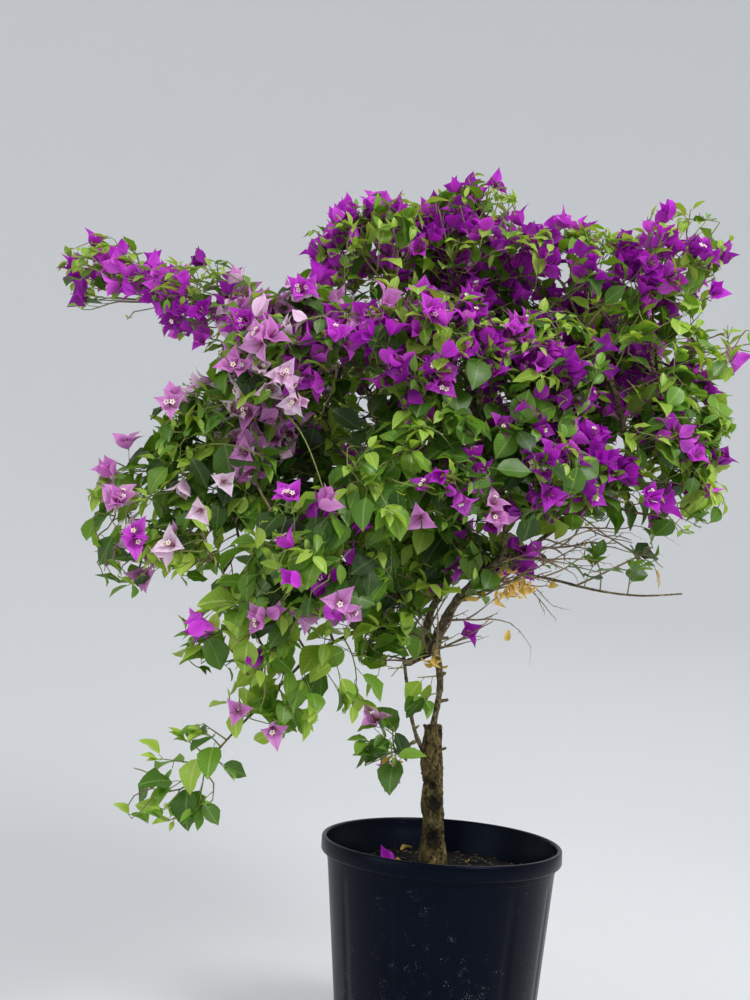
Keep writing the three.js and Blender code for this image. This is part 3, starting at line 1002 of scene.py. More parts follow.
def sliced(node, axis, sense):
    """The middle and radius of slices across a node's solid, from its foot to its tip."""
    mesh = frame["nodes"][node].data
    corners = np.array([v.co for v in mesh.vertices])
    ends = np.array([e.vertices for e in mesh.edges])
    first, second = corners[ends[:, 0]], corners[ends[:, 1]]
    cuts = np.linspace(corners[:, axis].min(), corners[:, axis].max(), SLICES + 2)[1:-1]
    middles, rings = [], []
    for cut in cuts[::sense]:
        meets = (first[:, axis] < cut) != (second[:, axis] < cut)
        share = (cut - first[meets, axis]) / (second[meets, axis] - first[meets, axis])
        ring = first[meets] + share[:, None] * (second[meets] - first[meets])
        middles.append((ring.min(0) + ring.max(0)) / 2)
        rings.append(ring)
    middles = np.array(middles)
    headings = np.gradient(middles, axis=0)
    headings /= np.linalg.norm(headings, axis=1)[:, None]
    radii = []
    for middle, heading, ring in zip(middles, headings, rings):
        arms = ring - middle
        arms = arms - np.outer(arms @ heading, heading)
        radii.append(np.linalg.norm(arms, axis=1).mean() * RING_SHARE)
    first_step = (middles[0] - middles[1]) * 1.2
    last_step = (middles[-1] - middles[-2]) * 0.9
    points = np.vstack([middles[0] + first_step, middles, middles[-1] + last_step])
    return points, np.concatenate([[radii[0]], radii, [radii[-1]]])


def limb_runs():
    """Each run's line, read off the solids."""
    runs = {}
    for name, (axis, sense, _, slim, *onward) in RUNS.items():
        parts = [sliced(node, axis, sense) for node in (name, *onward)]
        points = np.vstack([part[0] for part in parts])
        radii = np.concatenate([part[1] for part in parts])
        runs[name] = Run(points, radii * slim)
    return runs


def bark_tube(points, radii, sides, dice, foot):
    """A limb's bark: a tube with a swollen foot, swollen joints and an uneven skin."""
    radii = np.array(radii, float)
    reach = reach_along(points)
    radii *= 1 + foot * np.exp(-reach / 0.008)
    at = dice.uniform(*KNOT_GAPS)
    while at < reach[-1]:
        radii *= 1 + 0.16 * np.exp(-(((reach - at) / 0.0028) ** 2))
        at += dice.uniform(*KNOT_GAPS)
    corners, *rest = tube(points, radii, sides)
    for i, middle in enumerate(np.repeat(points, sides, axis=0)):
        arm = corners[i] - middle
        rough = noise.fractal(Vector(corners[i]) * 210, 0.9, 2.0, 3)
        waves = noise.noise(Vector(corners[i]) * 60)
        corners[i] = middle + arm * (1 + 0.10 * rough + 0.08 * waves)
    return (corners, *rest)


def spur(run_spot, turn, length, radius, dice):
    """A short blunt stub that stands out of a limb."""
    point, heading, limb_radius = run_spot
    level = unit(np.array([math.cos(turn), math.sin(turn), 0.0]))
    way = unit(level - heading * (level @ heading) + 0.35 * heading)
    start = point + way * limb_radius * 0.6
    end = point + way * (limb_radius + length)
    radii = [radius * 1.35, radius, radius * dice.uniform(0.75, 0.95)]
    return tube([start, (start + end) / 2, end], radii, 7)


def trunk_skin(corner, middle, share):
    """How far the bark stands out at a corner of the trunk, and how much painted shade its hollow puts
    there.
    """
    arm = corner - middle
    turn = math.degrees(math.atan2(arm[1], arm[0]))
    radius = math.hypot(arm[0], arm[1])
    x, y, z = corner
    lumps = noise.fractal(Vector((x * 42, y * 42, z * 26)), 0.9, 2.0, 3)
    grooves = abs(noise.fractal(Vector((x * 230, y * 230, z * 52)), 0.7, 2.1, 4))
    cracks = abs(noise.noise(Vector((x * 90, y * 90, z * 170))))
    rise = LUMP_HEIGHT * lumps + GROOVE_DEPTH * (min(grooves * 2.2, 1) - 0.6)
    rise += 0.0005 * (min(cracks * 4, 1) - 0.7)
    hollow_shading = 0.0
    for knot_share, knot_turn, width, lift, hollow in KNOTS:
        up = (share - knot_share) * TRUNK_LENGTH
        round_it = math.radians((turn - knot_turn + 180) % 360 - 180) * radius
        away = (up * up * 0.7 + round_it * round_it) / width**2
        if away < 6:
            rise += lift * math.exp(-away) - hollow * math.exp(-away * 2.4)
            # painted shade, darkest at the bottom of each hollow
            hollow_shading = max(hollow_shading, min(hollow / 0.003, 1) * math.exp(-away * 1.2))
    return rise, hollow_shading


def raise_trunk(heights, middles, sizes):
    """The trunk's plain shape: one ring raised up its middle line, closed at both ends."""
    nothing_selected()
    bpy.ops.mesh.primitive_circle_add(
        vertices=TRUNK_SIDES, radius=sizes[0], location=(*middles[0], heights[0])
    )
    trunk = bpy.context.object
    settle(trunk)
    bpy.ops.object.mode_set(mode="EDIT")
    bpy.ops.mesh.select_all(action="SELECT")
    for i in range(1, TRUNK_RINGS):
        shift = (*(middles[i] - middles[i - 1]), heights[i] - heights[i - 1])
        bpy.ops.mesh.extrude_region_move(TRANSFORM_OT_translate={"value": shift})
        share = sizes[i] / sizes[i - 1]
        centre = (*middles[i], heights[i])
        bpy.ops.transform.resize(value=(share, share, 1), center_override=centre)
    bpy.ops.mesh.edge_face_add()
    for _ in range(TRUNK_TOP_RINGS):
        bpy.ops.mesh.inset(thickness=sizes[-1] / (TRUNK_TOP_RINGS + 1))
    bpy.ops.mesh.select_all(action="SELECT")
    bpy.ops.mesh.fill_holes(sides=0)
    bpy.ops.mesh.normals_make_consistent(inside=False)
    alone(trunk)
    return trunk


def make_trunk():
    """The cut-back trunk, raised along its solid and given its bark. Returns its run."""
    line, radii = sliced("trunk", 2, 1)
    radii = radii * TRUNK_SLIM
    heights = np.linspace(TRUNK_LOW.z, TRUNK_HIGH.z, TRUNK_RINGS)
    middles = np.column_stack([np.interp(heights, line[:, 2], line[:, k]) for k in range(2)])
    sizes = np.interp(heights, line[:, 2], radii)
    trunk = raise_trunk(heights, middles, sizes)
    # painted shade kept on the trunk's corners, for its bark to darken: the knots' hollows and the dip of
    # the cut top
    shade_in_hollows = trunk.data.attributes.new(HOLLOW_SHADE, "FLOAT", "POINT")
    for i, vertex in enumerate(trunk.data.vertices):
        corner = np.array(vertex.co)
        x, y, usual = [np.interp(corner[2], heights, row) for row in (*middles.T, sizes)]
        middle = np.array([x, y, corner[2]])
        arm = corner - middle
        radius = math.hypot(arm[0], arm[1])
        if radius > 0.9 * usual:
            share = (corner[2] - heights[0]) / TRUNK_LENGTH
            rise, hollow_shading = trunk_skin(corner, middle, share)
            corner = corner + unit(arm) * rise
            shade_in_hollows.data[i].value = hollow_shading
        if corner[2] > heights[-1] - TOP_DEPTH:
            dip = 1 - min(radius / sizes[-1], 1)
            # painted shade in the dip of the cut top
            shade_in_hollows.data[i].value = 0.35 * dip
            rough = noise.fractal(Vector(corner) * 190, 0.8, 2.0, 3)
            corner[2] -= 0.0012 + 0.0022 * dip + 0.0011 * rough
            corner[2] -= 0.0016 * max(0.0, (middle[0] - corner[0]) / sizes[-1])
        vertex.co = corner
    bpy.ops.object.shade_smooth()
    enter(trunk, "trunk_bark", TRUNK_BARK, "old_bark", ["trunk"])
    return Run(line, radii)


# ---- Litter on the soil ----

CRUMBS = 420
CRUMB_SIZE = (0.0012, 0.0042)
FALLEN_LEAVES = 9
FALLEN_LEAF_SIZE = (0.010, 0.022)
FALLEN_BRACT = (-0.056, 0.010)  # its place across and back
FALLEN_BRACT_LIFT = 0.004
FALLEN_BRACT_SIZE = 0.028
FALLEN_BRACT_LEAN = (-0.75, -0.35, 0.35)


def on_soil(x, y, lift=0.0):
    return np.array([x, y, soil_level(x, y) + lift])


def make_litter():
    """Crumbs of bark, curled dead leaves and one dropped bract that lie on the soil."""
    dice = random.Random(SEED + 1)
    crumbs = Pile("soil_crumbs", LITTER, "potting_mix", ["soil"])
    leaves = Pile("fallen_leaves", DRY, "dead_leaves", ["soil"])
    for i in range(CRUMBS + FALLEN_LEAVES):
        away = (SOIL_RADIUS - 0.006) * math.sqrt(dice.random())
        turn = dice.uniform(0, 2 * math.pi)
        spot = on_soil(away * math.cos(turn), away * math.sin(turn))
        way = np.array([dice.uniform(-1, 1), dice.uniform(-1, 1), dice.uniform(-0.15, 0.15)])
        face = unit(UP + 0.35 * any_way(dice))
        if i < CRUMBS:
            size = dice.uniform(*CRUMB_SIZE)
            crumbs.add_form(CHIP, leaf_frame(spot, way, face, size), dice.randrange(TILES))
        else:
            size = dice.uniform(*FALLEN_LEAF_SIZE)
            form = dice.choice(DRY_FORMS)
            frame_of = leaf_frame(spot + UP * size * 0.1, way, face, size)
            leaves.add_form(form, frame_of, dice.randrange(TILES))
    fallen = Pile("fallen_bract_vivid", HUES["vivid"], "bracts", ["soil"])
    spot = on_soil(*FALLEN_BRACT, FALLEN_BRACT_LIFT)
    lean = np.array(FALLEN_BRACT_LEAN)
    fallen.add_form(OPEN_BELLS[0], bell_frame(spot, lean, 0.6, FALLEN_BRACT_SIZE), 2)
    for pile in (crumbs, leaves, fallen):
        pile.make()


# ---- How the foliage grows ----


@dataclass
class Habit:
    """How the sprays of a mass grow: how close and long, their leaves, trusses and colours."""

    spacing: float  # from spray to spray
    nodes: tuple  # fewest and most along a shoot
    leaves: float  # chance of a leaf at a node
    leaf: float  # length of a leaf
    greens: dict
    bloom: float  # share of shoots that flower
    trusses: float  # chance of a truss at a node of those
    hues: dict
    lift: float  # how far shoots turn up
    hang: float  # how far leaves and trusses hang
    bare: float = 0.0  # share of shoots that stand leafless
    step: float = 1.0  # how far apart the nodes stand, as a share of the usual


RICH = {"vivid": 5, "deep": 2, "bright": 3}
# painted shade: mostly the purple bract darkened, for the shaded heart and inner masses of the crown
SHADED_HUES = {"deep": 4, "vivid": 5, "bright": 1}
GLOWING = {"vivid": 4, "bright": 5, "deep": 1}
WASHED = {"mauve": 5, "pale": 5, "bright": 2}
SOFT = {"bright": 5, "mauve": 4, "vivid": 2}
SUNLIT = {"fresh": 5, "lime": 4, "mid": 3}
LEAFY = {"mid": 5, "fresh": 5, "dark": 2, "lime": 2}
FRESH = {"mid": 4, "fresh": 6, "lime": 1}
SHADY = {"dark": 6, "mid": 4}

HABITS = {
    "blossom": Habit(0.029, (5, 8), 0.80, 0.036, SUNLIT, 0.92, 0.80, RICH, 0.30, 0.0),
    "crest": Habit(0.033, (5, 8), 0.76, 0.036, SUNLIT, 1.00, 0.86, RICH, 0.35, 0.0),
    "dusky": Habit(0.029, (5, 8), 0.85, 0.040, LEAFY, 0.80, 0.75, SHADED_HUES, 0.20, 0.1),
    "glowing": Habit(0.029, (5, 8), 0.80, 0.039, LEAFY, 0.95, 0.75, GLOWING, 0.15, 0.1),
    "washed": Habit(0.028, (5, 9), 0.80, 0.042, LEAFY, 1.00, 0.85, WASHED, 0.05, 0.3),
    "arm": Habit(0.022, (4, 6), 0.70, 0.032, SUNLIT, 1.00, 0.85, RICH, 0.20, 0.1),
    "sunlit": Habit(0.027, (5, 9), 0.95, 0.044, SUNLIT, 0.50, 0.60, RICH, 0.10, 0.1),
    "mixed": Habit(0.029, (5, 9), 0.95, 0.046, LEAFY, 0.55, 0.55, GLOWING, 0.00, 0.3),
    "leafy": Habit(0.030, (5, 9), 0.95, 0.046, LEAFY, 0.10, 0.45, SOFT, 0.00, 0.3),
    "green": Habit(0.030, (5, 9), 0.95, 0.048, LEAFY, 0.04, 0.30, WASHED, 0.00, 0.3),
    "shoulder": Habit(0.031, (5, 8), 0.92, 0.041, SUNLIT, 0.68, 0.60, RICH, 0.20, 0.0),
    "core": Habit(0.031, (4, 7), 0.92, 0.044, LEAFY, 0.50, 0.50, SHADED_HUES, 0.00, 0.2),
    "mottled": Habit(0.028, (5, 9), 0.92, 0.044, LEAFY, 0.70, 0.62, RICH, 0.00, 0.2),
    "skirt": Habit(0.027, (5, 9), 0.95, 0.046, LEAFY, 0.32, 0.60, SOFT, -0.20, 0.5),
    "fringe": Habit(0.030, (5, 9), 0.70, 0.040, LEAFY, 1.00, 0.80, WASHED, -0.15, 0.6),
    "weeping": Habit(0.026, (4, 7), 0.95, 0.044, LEAFY, 0.00, 0.00, SOFT, -0.20, 0.5),
    "trailing": Habit(0.028, (4, 6), 0.95, 0.044, FRESH, 0.00, 0.00, SOFT, -0.10, 0.4),
    "last": Habit(0.031, (2, 3), 1.00, 0.048, FRESH, 0.00, 0.00, SOFT, 0.10, 0.2, 0.0, 1.5),
    "shady": Habit(0.032, (4, 7), 0.95, 0.046, SHADY, 0.08, 0.40, SHADED_HUES, 0.00, 0.3),
    "under": Habit(0.021, (4, 8), 0.95, 0.044, LEAFY, 0.10, 0.36, GLOWING, -0.10, 0.4),
    "dry": Habit(0.024, (4, 8), 0.90, 0.032, LEAFY, 0.04, 0.40, SOFT, 0.00, 0.2, 0.6),
    "thin": Habit(0.022, (4, 7), 0.90, 0.047, SHADY, 0.00, 0.00, RICH, 0.00, 0.2, 0.2),
    "low": Habit(0.036, (2, 4), 0.95, 0.052, SHADY, 0.00, 0.00, SOFT, 0.00, 0.3, 0.0, 1.2),
    "tip": Habit(0.018, (3, 6), 0.95, 0.032, LEAFY, 0.00, 0.00, RICH, 0.10, 0.2),
}
MASSES = {
    "crown_top": "blossom",
    "crown_top_left": "blossom",
    "crown_top_right": "crest",
    "right_crest": "crest",
    "crown_core": "core",
    "heart": "dusky",
    "front_bloom": "glowing",
    "left_bloom": "washed",
    "right_shoulder": "shoulder",
    "right_mid": "sunlit",
    "right_low": "sunlit",
    "arm_root": "arm",
    "arm_tip": "arm",
    "left_mid": "green",
    "left_fringe": "fringe",
    "left_shelf": "weeping",
    "front_low": "mixed",
    "right_front_low": "mottled",
    "front_skirt": "skirt",
    "left_inner": "shady",
    "low_heart": "under",
    "stem_leaves": "under",
    "weeping_top": "weeping",
    "weeping_foot": "trailing",
    "weeping_tip": "trailing",
    "low_sprig": "low",
    "dry_spray": "dry",
    "right_sprig": "thin",
    "right_tip": "tip",
    "back_top": "blossom",
    "back_right": "blossom",
    "back_left": "glowing",
    "back_middle": "leafy",
    "back_low_right": "leafy",
    "back_low_left": "leafy",
    "back_foot": "shady",
}
SKIN = 0.012  # how far under a mass's surface its sprays start
OVERHANG = (-0.012, 0.021)  # how far a leaf or bract may stand out of the masses
SHOOT_EDGE = (-0.003, 0.012)  # how far a shoot may do so
STRIDE = 0.010  # from joint to joint of a branch that grows
SEED_GAP = 0.034  # between the places on a limb where a branch may start
REACH = 0.11  # how far a spray pulls at a branch
TRUSS_ROOM = 0.024  # how far behind the plant's very front the front trusses keep
LATE_MASSES = ("arm_root", "arm_tip", "right_tip")  # grown out to from the crown beside them
LATE_REACH = 0.045  # how far a spray in those pulls
# How far along a limb branches may start, where that isn't its tip.
GROWS_TO = {"bare_side_limb": 0.62}
NEAR = 0.016  # how near a branch comes before its spray stops pulling
MOST_ROUNDS = 400
INTERNODE = 0.0125
WANDER = 0.22  # how far a growing branch strays from the way it is pulled
KEEP_ON = 0.35  # how far it keeps to the way it came
CROWDED = 0.45  # share of a stride between brothers, under which the later isn't grown
EASINGS = 6
THICK_TWIG = 0.0017  # radius over which a branch has bark with joints of its own
STALK_RADII = (0.0006, 0.0005, 0.0005)
TRIES = 4  # at a way that keeps to the masses
LEAF_STALK = (0.16, 0.30)  # as a share of the leaf's length
LEAF_SPREAD = (0.78, 1.18)  # of the leaves' lengths round the usual one
STRIDE_SPREAD = (0.75, 1.25)
LEAF_TURN = 2.4  # radians from one node's leaf to the next
YOUNG_PART = 0.7  # share of a shoot past which its leaves are young
BLOOM_LEAF = 0.72  # a leaf among trusses, as a share of the usual
END_LEAF = (0.012, 0.026)  # length of the young leaves at a shoot's end
END_LEAVES = (2, 4)
TRUSS_STALK = (0.008, 0.020)
TRUSS_EDGE = 0.006  # how far the hub of a truss may stand out of the masses
TRUSS_COUNTS = (1, 2, 3, 3)
BELL_STALK = (0.003, 0.007)
BELL_SIZE = (0.026, 0.034)
SHUT_SHARE = 0.16  # of the bells
DRY_SIZE = (0.016, 0.032)
DRY_ENDS = 0.30  # share of the bare shoots that end in dead leaves
BARE_RADIUS = 0.0013
BARE_STEP = 0.013
NUB_SHARE = 0.55  # of a bare twig's joints, which have a short spur
NUB_LENGTH = (0.002, 0.005)
FORK_LENGTH = (0.35, 0.6)  # as a share of the twig that forks
# Thin places in the crown: x and z, radius, share of the sprays that grow there.
THIN_PLACES = (
    ((-0.36, 0.80), 0.050, 0.30),
    ((-0.42, 0.68), 0.055, 0.45),
    ((0.34, 0.92), 0.045, 0.30),
    ((0.28, 0.72), 0.045, 0.25),
    ((0.02, 1.14), 0.035, 0.30),
    ((0.16, 0.70), 0.050, 0.15),
    ((0.10, 0.67), 0.040, 0.30),
    ((0.33, 1.02), 0.040, 0.50),
    ((0.21, 1.05), 0.030, 0.50),
    ((-0.29, 0.60), 0.045, 0.45),
    ((-0.29, 0.54), 0.040, 0.50),
    ((-0.21, 0.49), 0.030, 0.60),
)
# Patches where more or fewer of the shoots flower than elsewhere: x and z, radius, share.
BLOOM_PATCHES = (
    ((-0.106, 0.679), 0.040, 0.05),
    ((-0.203, 0.742), 0.055, 0.05),
    ((-0.289, 0.795), 0.055, 0.05),
    ((-0.102, 0.617), 0.045, 0.05),
    ((-0.141, 0.746), 0.045, 0.05),
    ((0.263, 0.951), 0.045, 0.35),
    ((-0.015, 1.008), 0.080, 1.00),
    ((-0.281, 0.866), 0.050, 1.00),
    ((0.107, 0.824), 0.060, 1.00),
    ((0.228, 0.761), 0.050, 0.90),
    ((-0.424, 0.692), 0.075, 1.00),
    ((0.017, 0.705), 0.035, 0.90),
    ((-0.24, 0.61), 0.050, 0.05),
)
OPEN_FLOWERS = 0.26  # share of the flower tubes that have opened
TIP_RADIUS = 0.0008  # of a branch's last twig
FORK_POWER = 2.9  # of the radii that add up where twigs join
LIGHT_SIDE = np.array([0.45, -0.62, 0.64])  # which leaves and trusses turn to
ARCH_WAY = np.array([0.0, -0.4, 0.8])  # the way an arching stem bulges, up and to the front
CROWN_HEART = np.array([-0.02, 0.03, 0.80])


class Crown:
    """The masses of foliage, which tell how deep in them a point lies."""

    def __init__(self, names):
        self.names = list(names)
        self.trees = []
        for name in self.names:
            mesh = frame["nodes"][name].data
            corners = [v.co.copy() for v in mesh.vertices]
            faces = [tuple(p.vertices) for p in mesh.polygons]
            self.trees.append(BVHTree.FromPolygons(corners, faces))
        boxes = np.array([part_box(name) for name in self.names])
        self.lows, self.highs = boxes[:, 0], boxes[:, 1]
        self.middles = (self.lows + self.highs) / 2
        self.halves = (self.highs - self.lows) / 2

    def depth_in(self, i, point):
        """How far inside mass i a point lies, or less than 0 outside it."""
        near, normal, _, distance = self.trees[i].find_nearest(Vector(point))
        outside = (Vector(point) - near).dot(normal) > 0
        return -distance if outside else distance

    def depth(self, point):
        """How far inside the nearest mass a point lies."""
        close = np.all((point > self.lows - 0.02) & (point < self.highs + 0.02), axis=1)
        deepest = -1.0
        for i in np.flatnonzero(close):
            deepest = max(deepest, self.depth_in(i, point))
            if deepest > 0.03:
                break
        return deepest

    def front(self, x, z):
        """Where the front of the masses lies at an x and a z, or the plant's middle in a gap."""
        start = Vector((x, CAD_BOX[0][1] - 0.1, z))
        hits = [tree.ray_cast(start, Vector((0, 1, 0)))[0] for tree in self.trees]
        return np.array([x, min((hit.y for hit in hits if hit), default=0.0), z])

    def outward(self, i, point):
        """The way out of the crown from a point in mass i."""
        from_mass = (point - self.middles[i]) / self.halves[i]
        from_heart = unit(point - CROWN_HEART)
        return unit(0.7 * from_mass + 0.6 * from_heart)


def share_at(places, point, usual):
    """The share that rules at a point, from a table of places, or the usual one."""
    for (x, z), radius, share in places:
        if math.hypot(point[0] - x, point[2] - z) < radius:
            return share
    return usual


def scatter_sprays(crown, dice):
    """Where sprays are wanted: evenly spread through each mass, at its habit's spacing."""
    wants = []
    owners = []
    for i, name in enumerate(crown.names):
        habit = HABITS[MASSES[name]]
        low, high = crown.lows[i], crown.highs[i]
        room = float(np.prod(high - low))
        tries = int(9 * room / habit.spacing**3) + 20
        for _ in range(tries):
            point = np.array([dice.uniform(low[k], high[k]) for k in range(3)])
            if wants:
                gaps = np.array(wants[-900:]) - point
                if (np.einsum("ij,ij->i", gaps, gaps) < (0.8 * habit.spacing) ** 2).any():
                    continue
            if crown.depth_in(i, point) < min(SKIN, 0.35 * crown.halves[i].min()):
                continue
            if dice.random() > share_at(THIN_PLACES, point, 1.0):
                continue
            wants.append(point)
            owners.append(i)
    return np.array(wants), owners


class Growth:
    """Branches that creep from the limbs towards the places that want a spray."""

    def __init__(self, runs, wants, late, dice):
        self.points = []
        self.parents = []
        self.limb_radius = []
        self.tips = set()  # joints at the very tips of limbs
        for name, run in runs.items():
            count = max(int(run.length / SEED_GAP), 1)
            for k in range(int(count * GROWS_TO.get(name, 1)) + 1):
                i = round(k / count * (len(run.points) - 1))
                self.points.append(run.points[i])
                self.parents.append(len(self.points) - 2 if k else -1)
                self.limb_radius.append(run.radii[i])
            if name not in GROWS_TO:
                self.tips.add(len(self.points) - 1)
        self.limb_count = len(self.points)
        self.wants = wants
        self.nearest = np.zeros(len(wants), int)
        self.gaps = np.full(len(wants), np.inf)
        self.children = {}
        self.look(0)
        self.creep(~late, REACH, dice)
        self.creep(late, LATE_REACH, dice)
        self.arrive(dice)
        self.ease()
        self.thicken()

    def look(self, first):
        """Lets each want know of the joints from first on."""
        fresh = np.array(self.points[first:])
        away = np.linalg.norm(self.wants[:, None, :] - fresh[None, :, :], axis=2)
        best = away.argmin(axis=1)
        gap = away[np.arange(len(self.wants)), best]
        closer = gap < self.gaps
        self.nearest[closer] = best[closer] + first
        self.gaps[closer] = gap[closer]

    def creep(self, unmet, reach, dice):
        """Space colonisation: each want pulls its nearest joint a stride nearer."""
        for _ in range(MOST_ROUNDS):
            unmet &= self.gaps > NEAR
            pulling = unmet & (self.gaps < reach)
            if not pulling.any():
                break
            first = len(self.points)
            ways = self.wants - np.array(self.points)[self.nearest]
            ways /= np.maximum(self.gaps, 1e-9)[:, None]
            for joint in np.unique(self.nearest[pulling]):
                mine = pulling & (self.nearest == joint)
                heading = unit(ways[mine].sum(axis=0)) + WANDER * any_way(dice)
                parent = self.parents[joint]
                if parent >= 0:
                    heading = heading + KEEP_ON * unit(self.points[joint] - self.points[parent])
                point = self.points[joint] + STRIDE * unit(heading)
                taken = self.children.setdefault(int(joint), [])
                if any(np.linalg.norm(point - self.points[c]) < CROWDED * STRIDE for c in taken):
                    unmet &= ~mine
                    continue
                taken.append(len(self.points))
                self.points.append(point)
                self.parents.append(int(joint))
            if len(self.points) == first:
                break
            self.look(first)

    def arrive(self, dice):
        """Ends each branch right where its spray is wanted."""
        for want, spot in enumerate(self.wants):
            joint = int(self.nearest[want])
            base = self.points[joint]
            steps = int(self.gaps[want] / STRIDE)
            for k in range(1, steps + 1):
                point = base + (spot - base) * k / steps
                point = point + (0.0016 * any_way(dice) if k < steps else 0)
                self.children.setdefault(joint, []).append(len(self.points))
                self.points.append(point)
                self.parents.append(joint)
                joint = len(self.points) - 1
            self.nearest[want] = joint

    def ease(self):
        """Takes the kinks out of the branches."""
        points = np.array(self.points)
        for _ in range(EASINGS):
            eased = points.copy()
            for joint in range(self.limb_count, len(points)):
                below = points[self.parents[joint]]
                above = self.children.get(joint, [])
                if above:
                    ahead = np.mean([points[c] for c in above], axis=0)
                    eased[joint] = 0.5 * points[joint] + 0.25 * (below + ahead)
            points = eased
        self.points = points

    def thicken(self):
        """Gives each joint a radius from the twigs that it carries."""
        carried = np.zeros(len(self.points))
        for joint in np.unique(self.nearest):
            carried[joint] += TIP_RADIUS**FORK_POWER
        for joint in range(len(self.points) - 1, self.limb_count - 1, -1):
            carried[joint] = max(carried[joint], TIP_RADIUS**FORK_POWER)
            parent = self.parents[joint]
            if parent >= self.limb_count:
                carried[parent] += carried[joint]
        self.radii = carried ** (1 / FORK_POWER)

    def near(self, spot):
        """The joint's place nearest to a spot."""
        return self.points[np.linalg.norm(self.points - spot, axis=1).argmin()]

    def heading(self, joint):
        parent = self.parents[joint]
        return unit(self.points[joint] - self.points[parent]) if parent >= 0 else UP

    def chains(self):
        """The branches as runs of joints, each from its fork to its tip."""
        starts = []
        for joint in range(self.limb_count, len(self.points)):
            parent = self.parents[joint]
            brothers = self.children[parent]
            main = max(brothers, key=lambda c: self.radii[c])
            if parent < self.limb_count or joint != main:
                starts.append(joint)
        for start in starts:
            chain = [self.parents[start], start]
            while self.children.get(chain[-1]):
                chain.append(max(self.children[chain[-1]], key=lambda c: self.radii[c]))
            yield chain


def pick(weights, dice):
    """One of the names, by its weight."""
    return dice.choices(list(weights), list(weights.values()))[0]


LIGHTER = {"dark": "mid", "mid": "fresh", "fresh": "lime", "lime": "lime"}


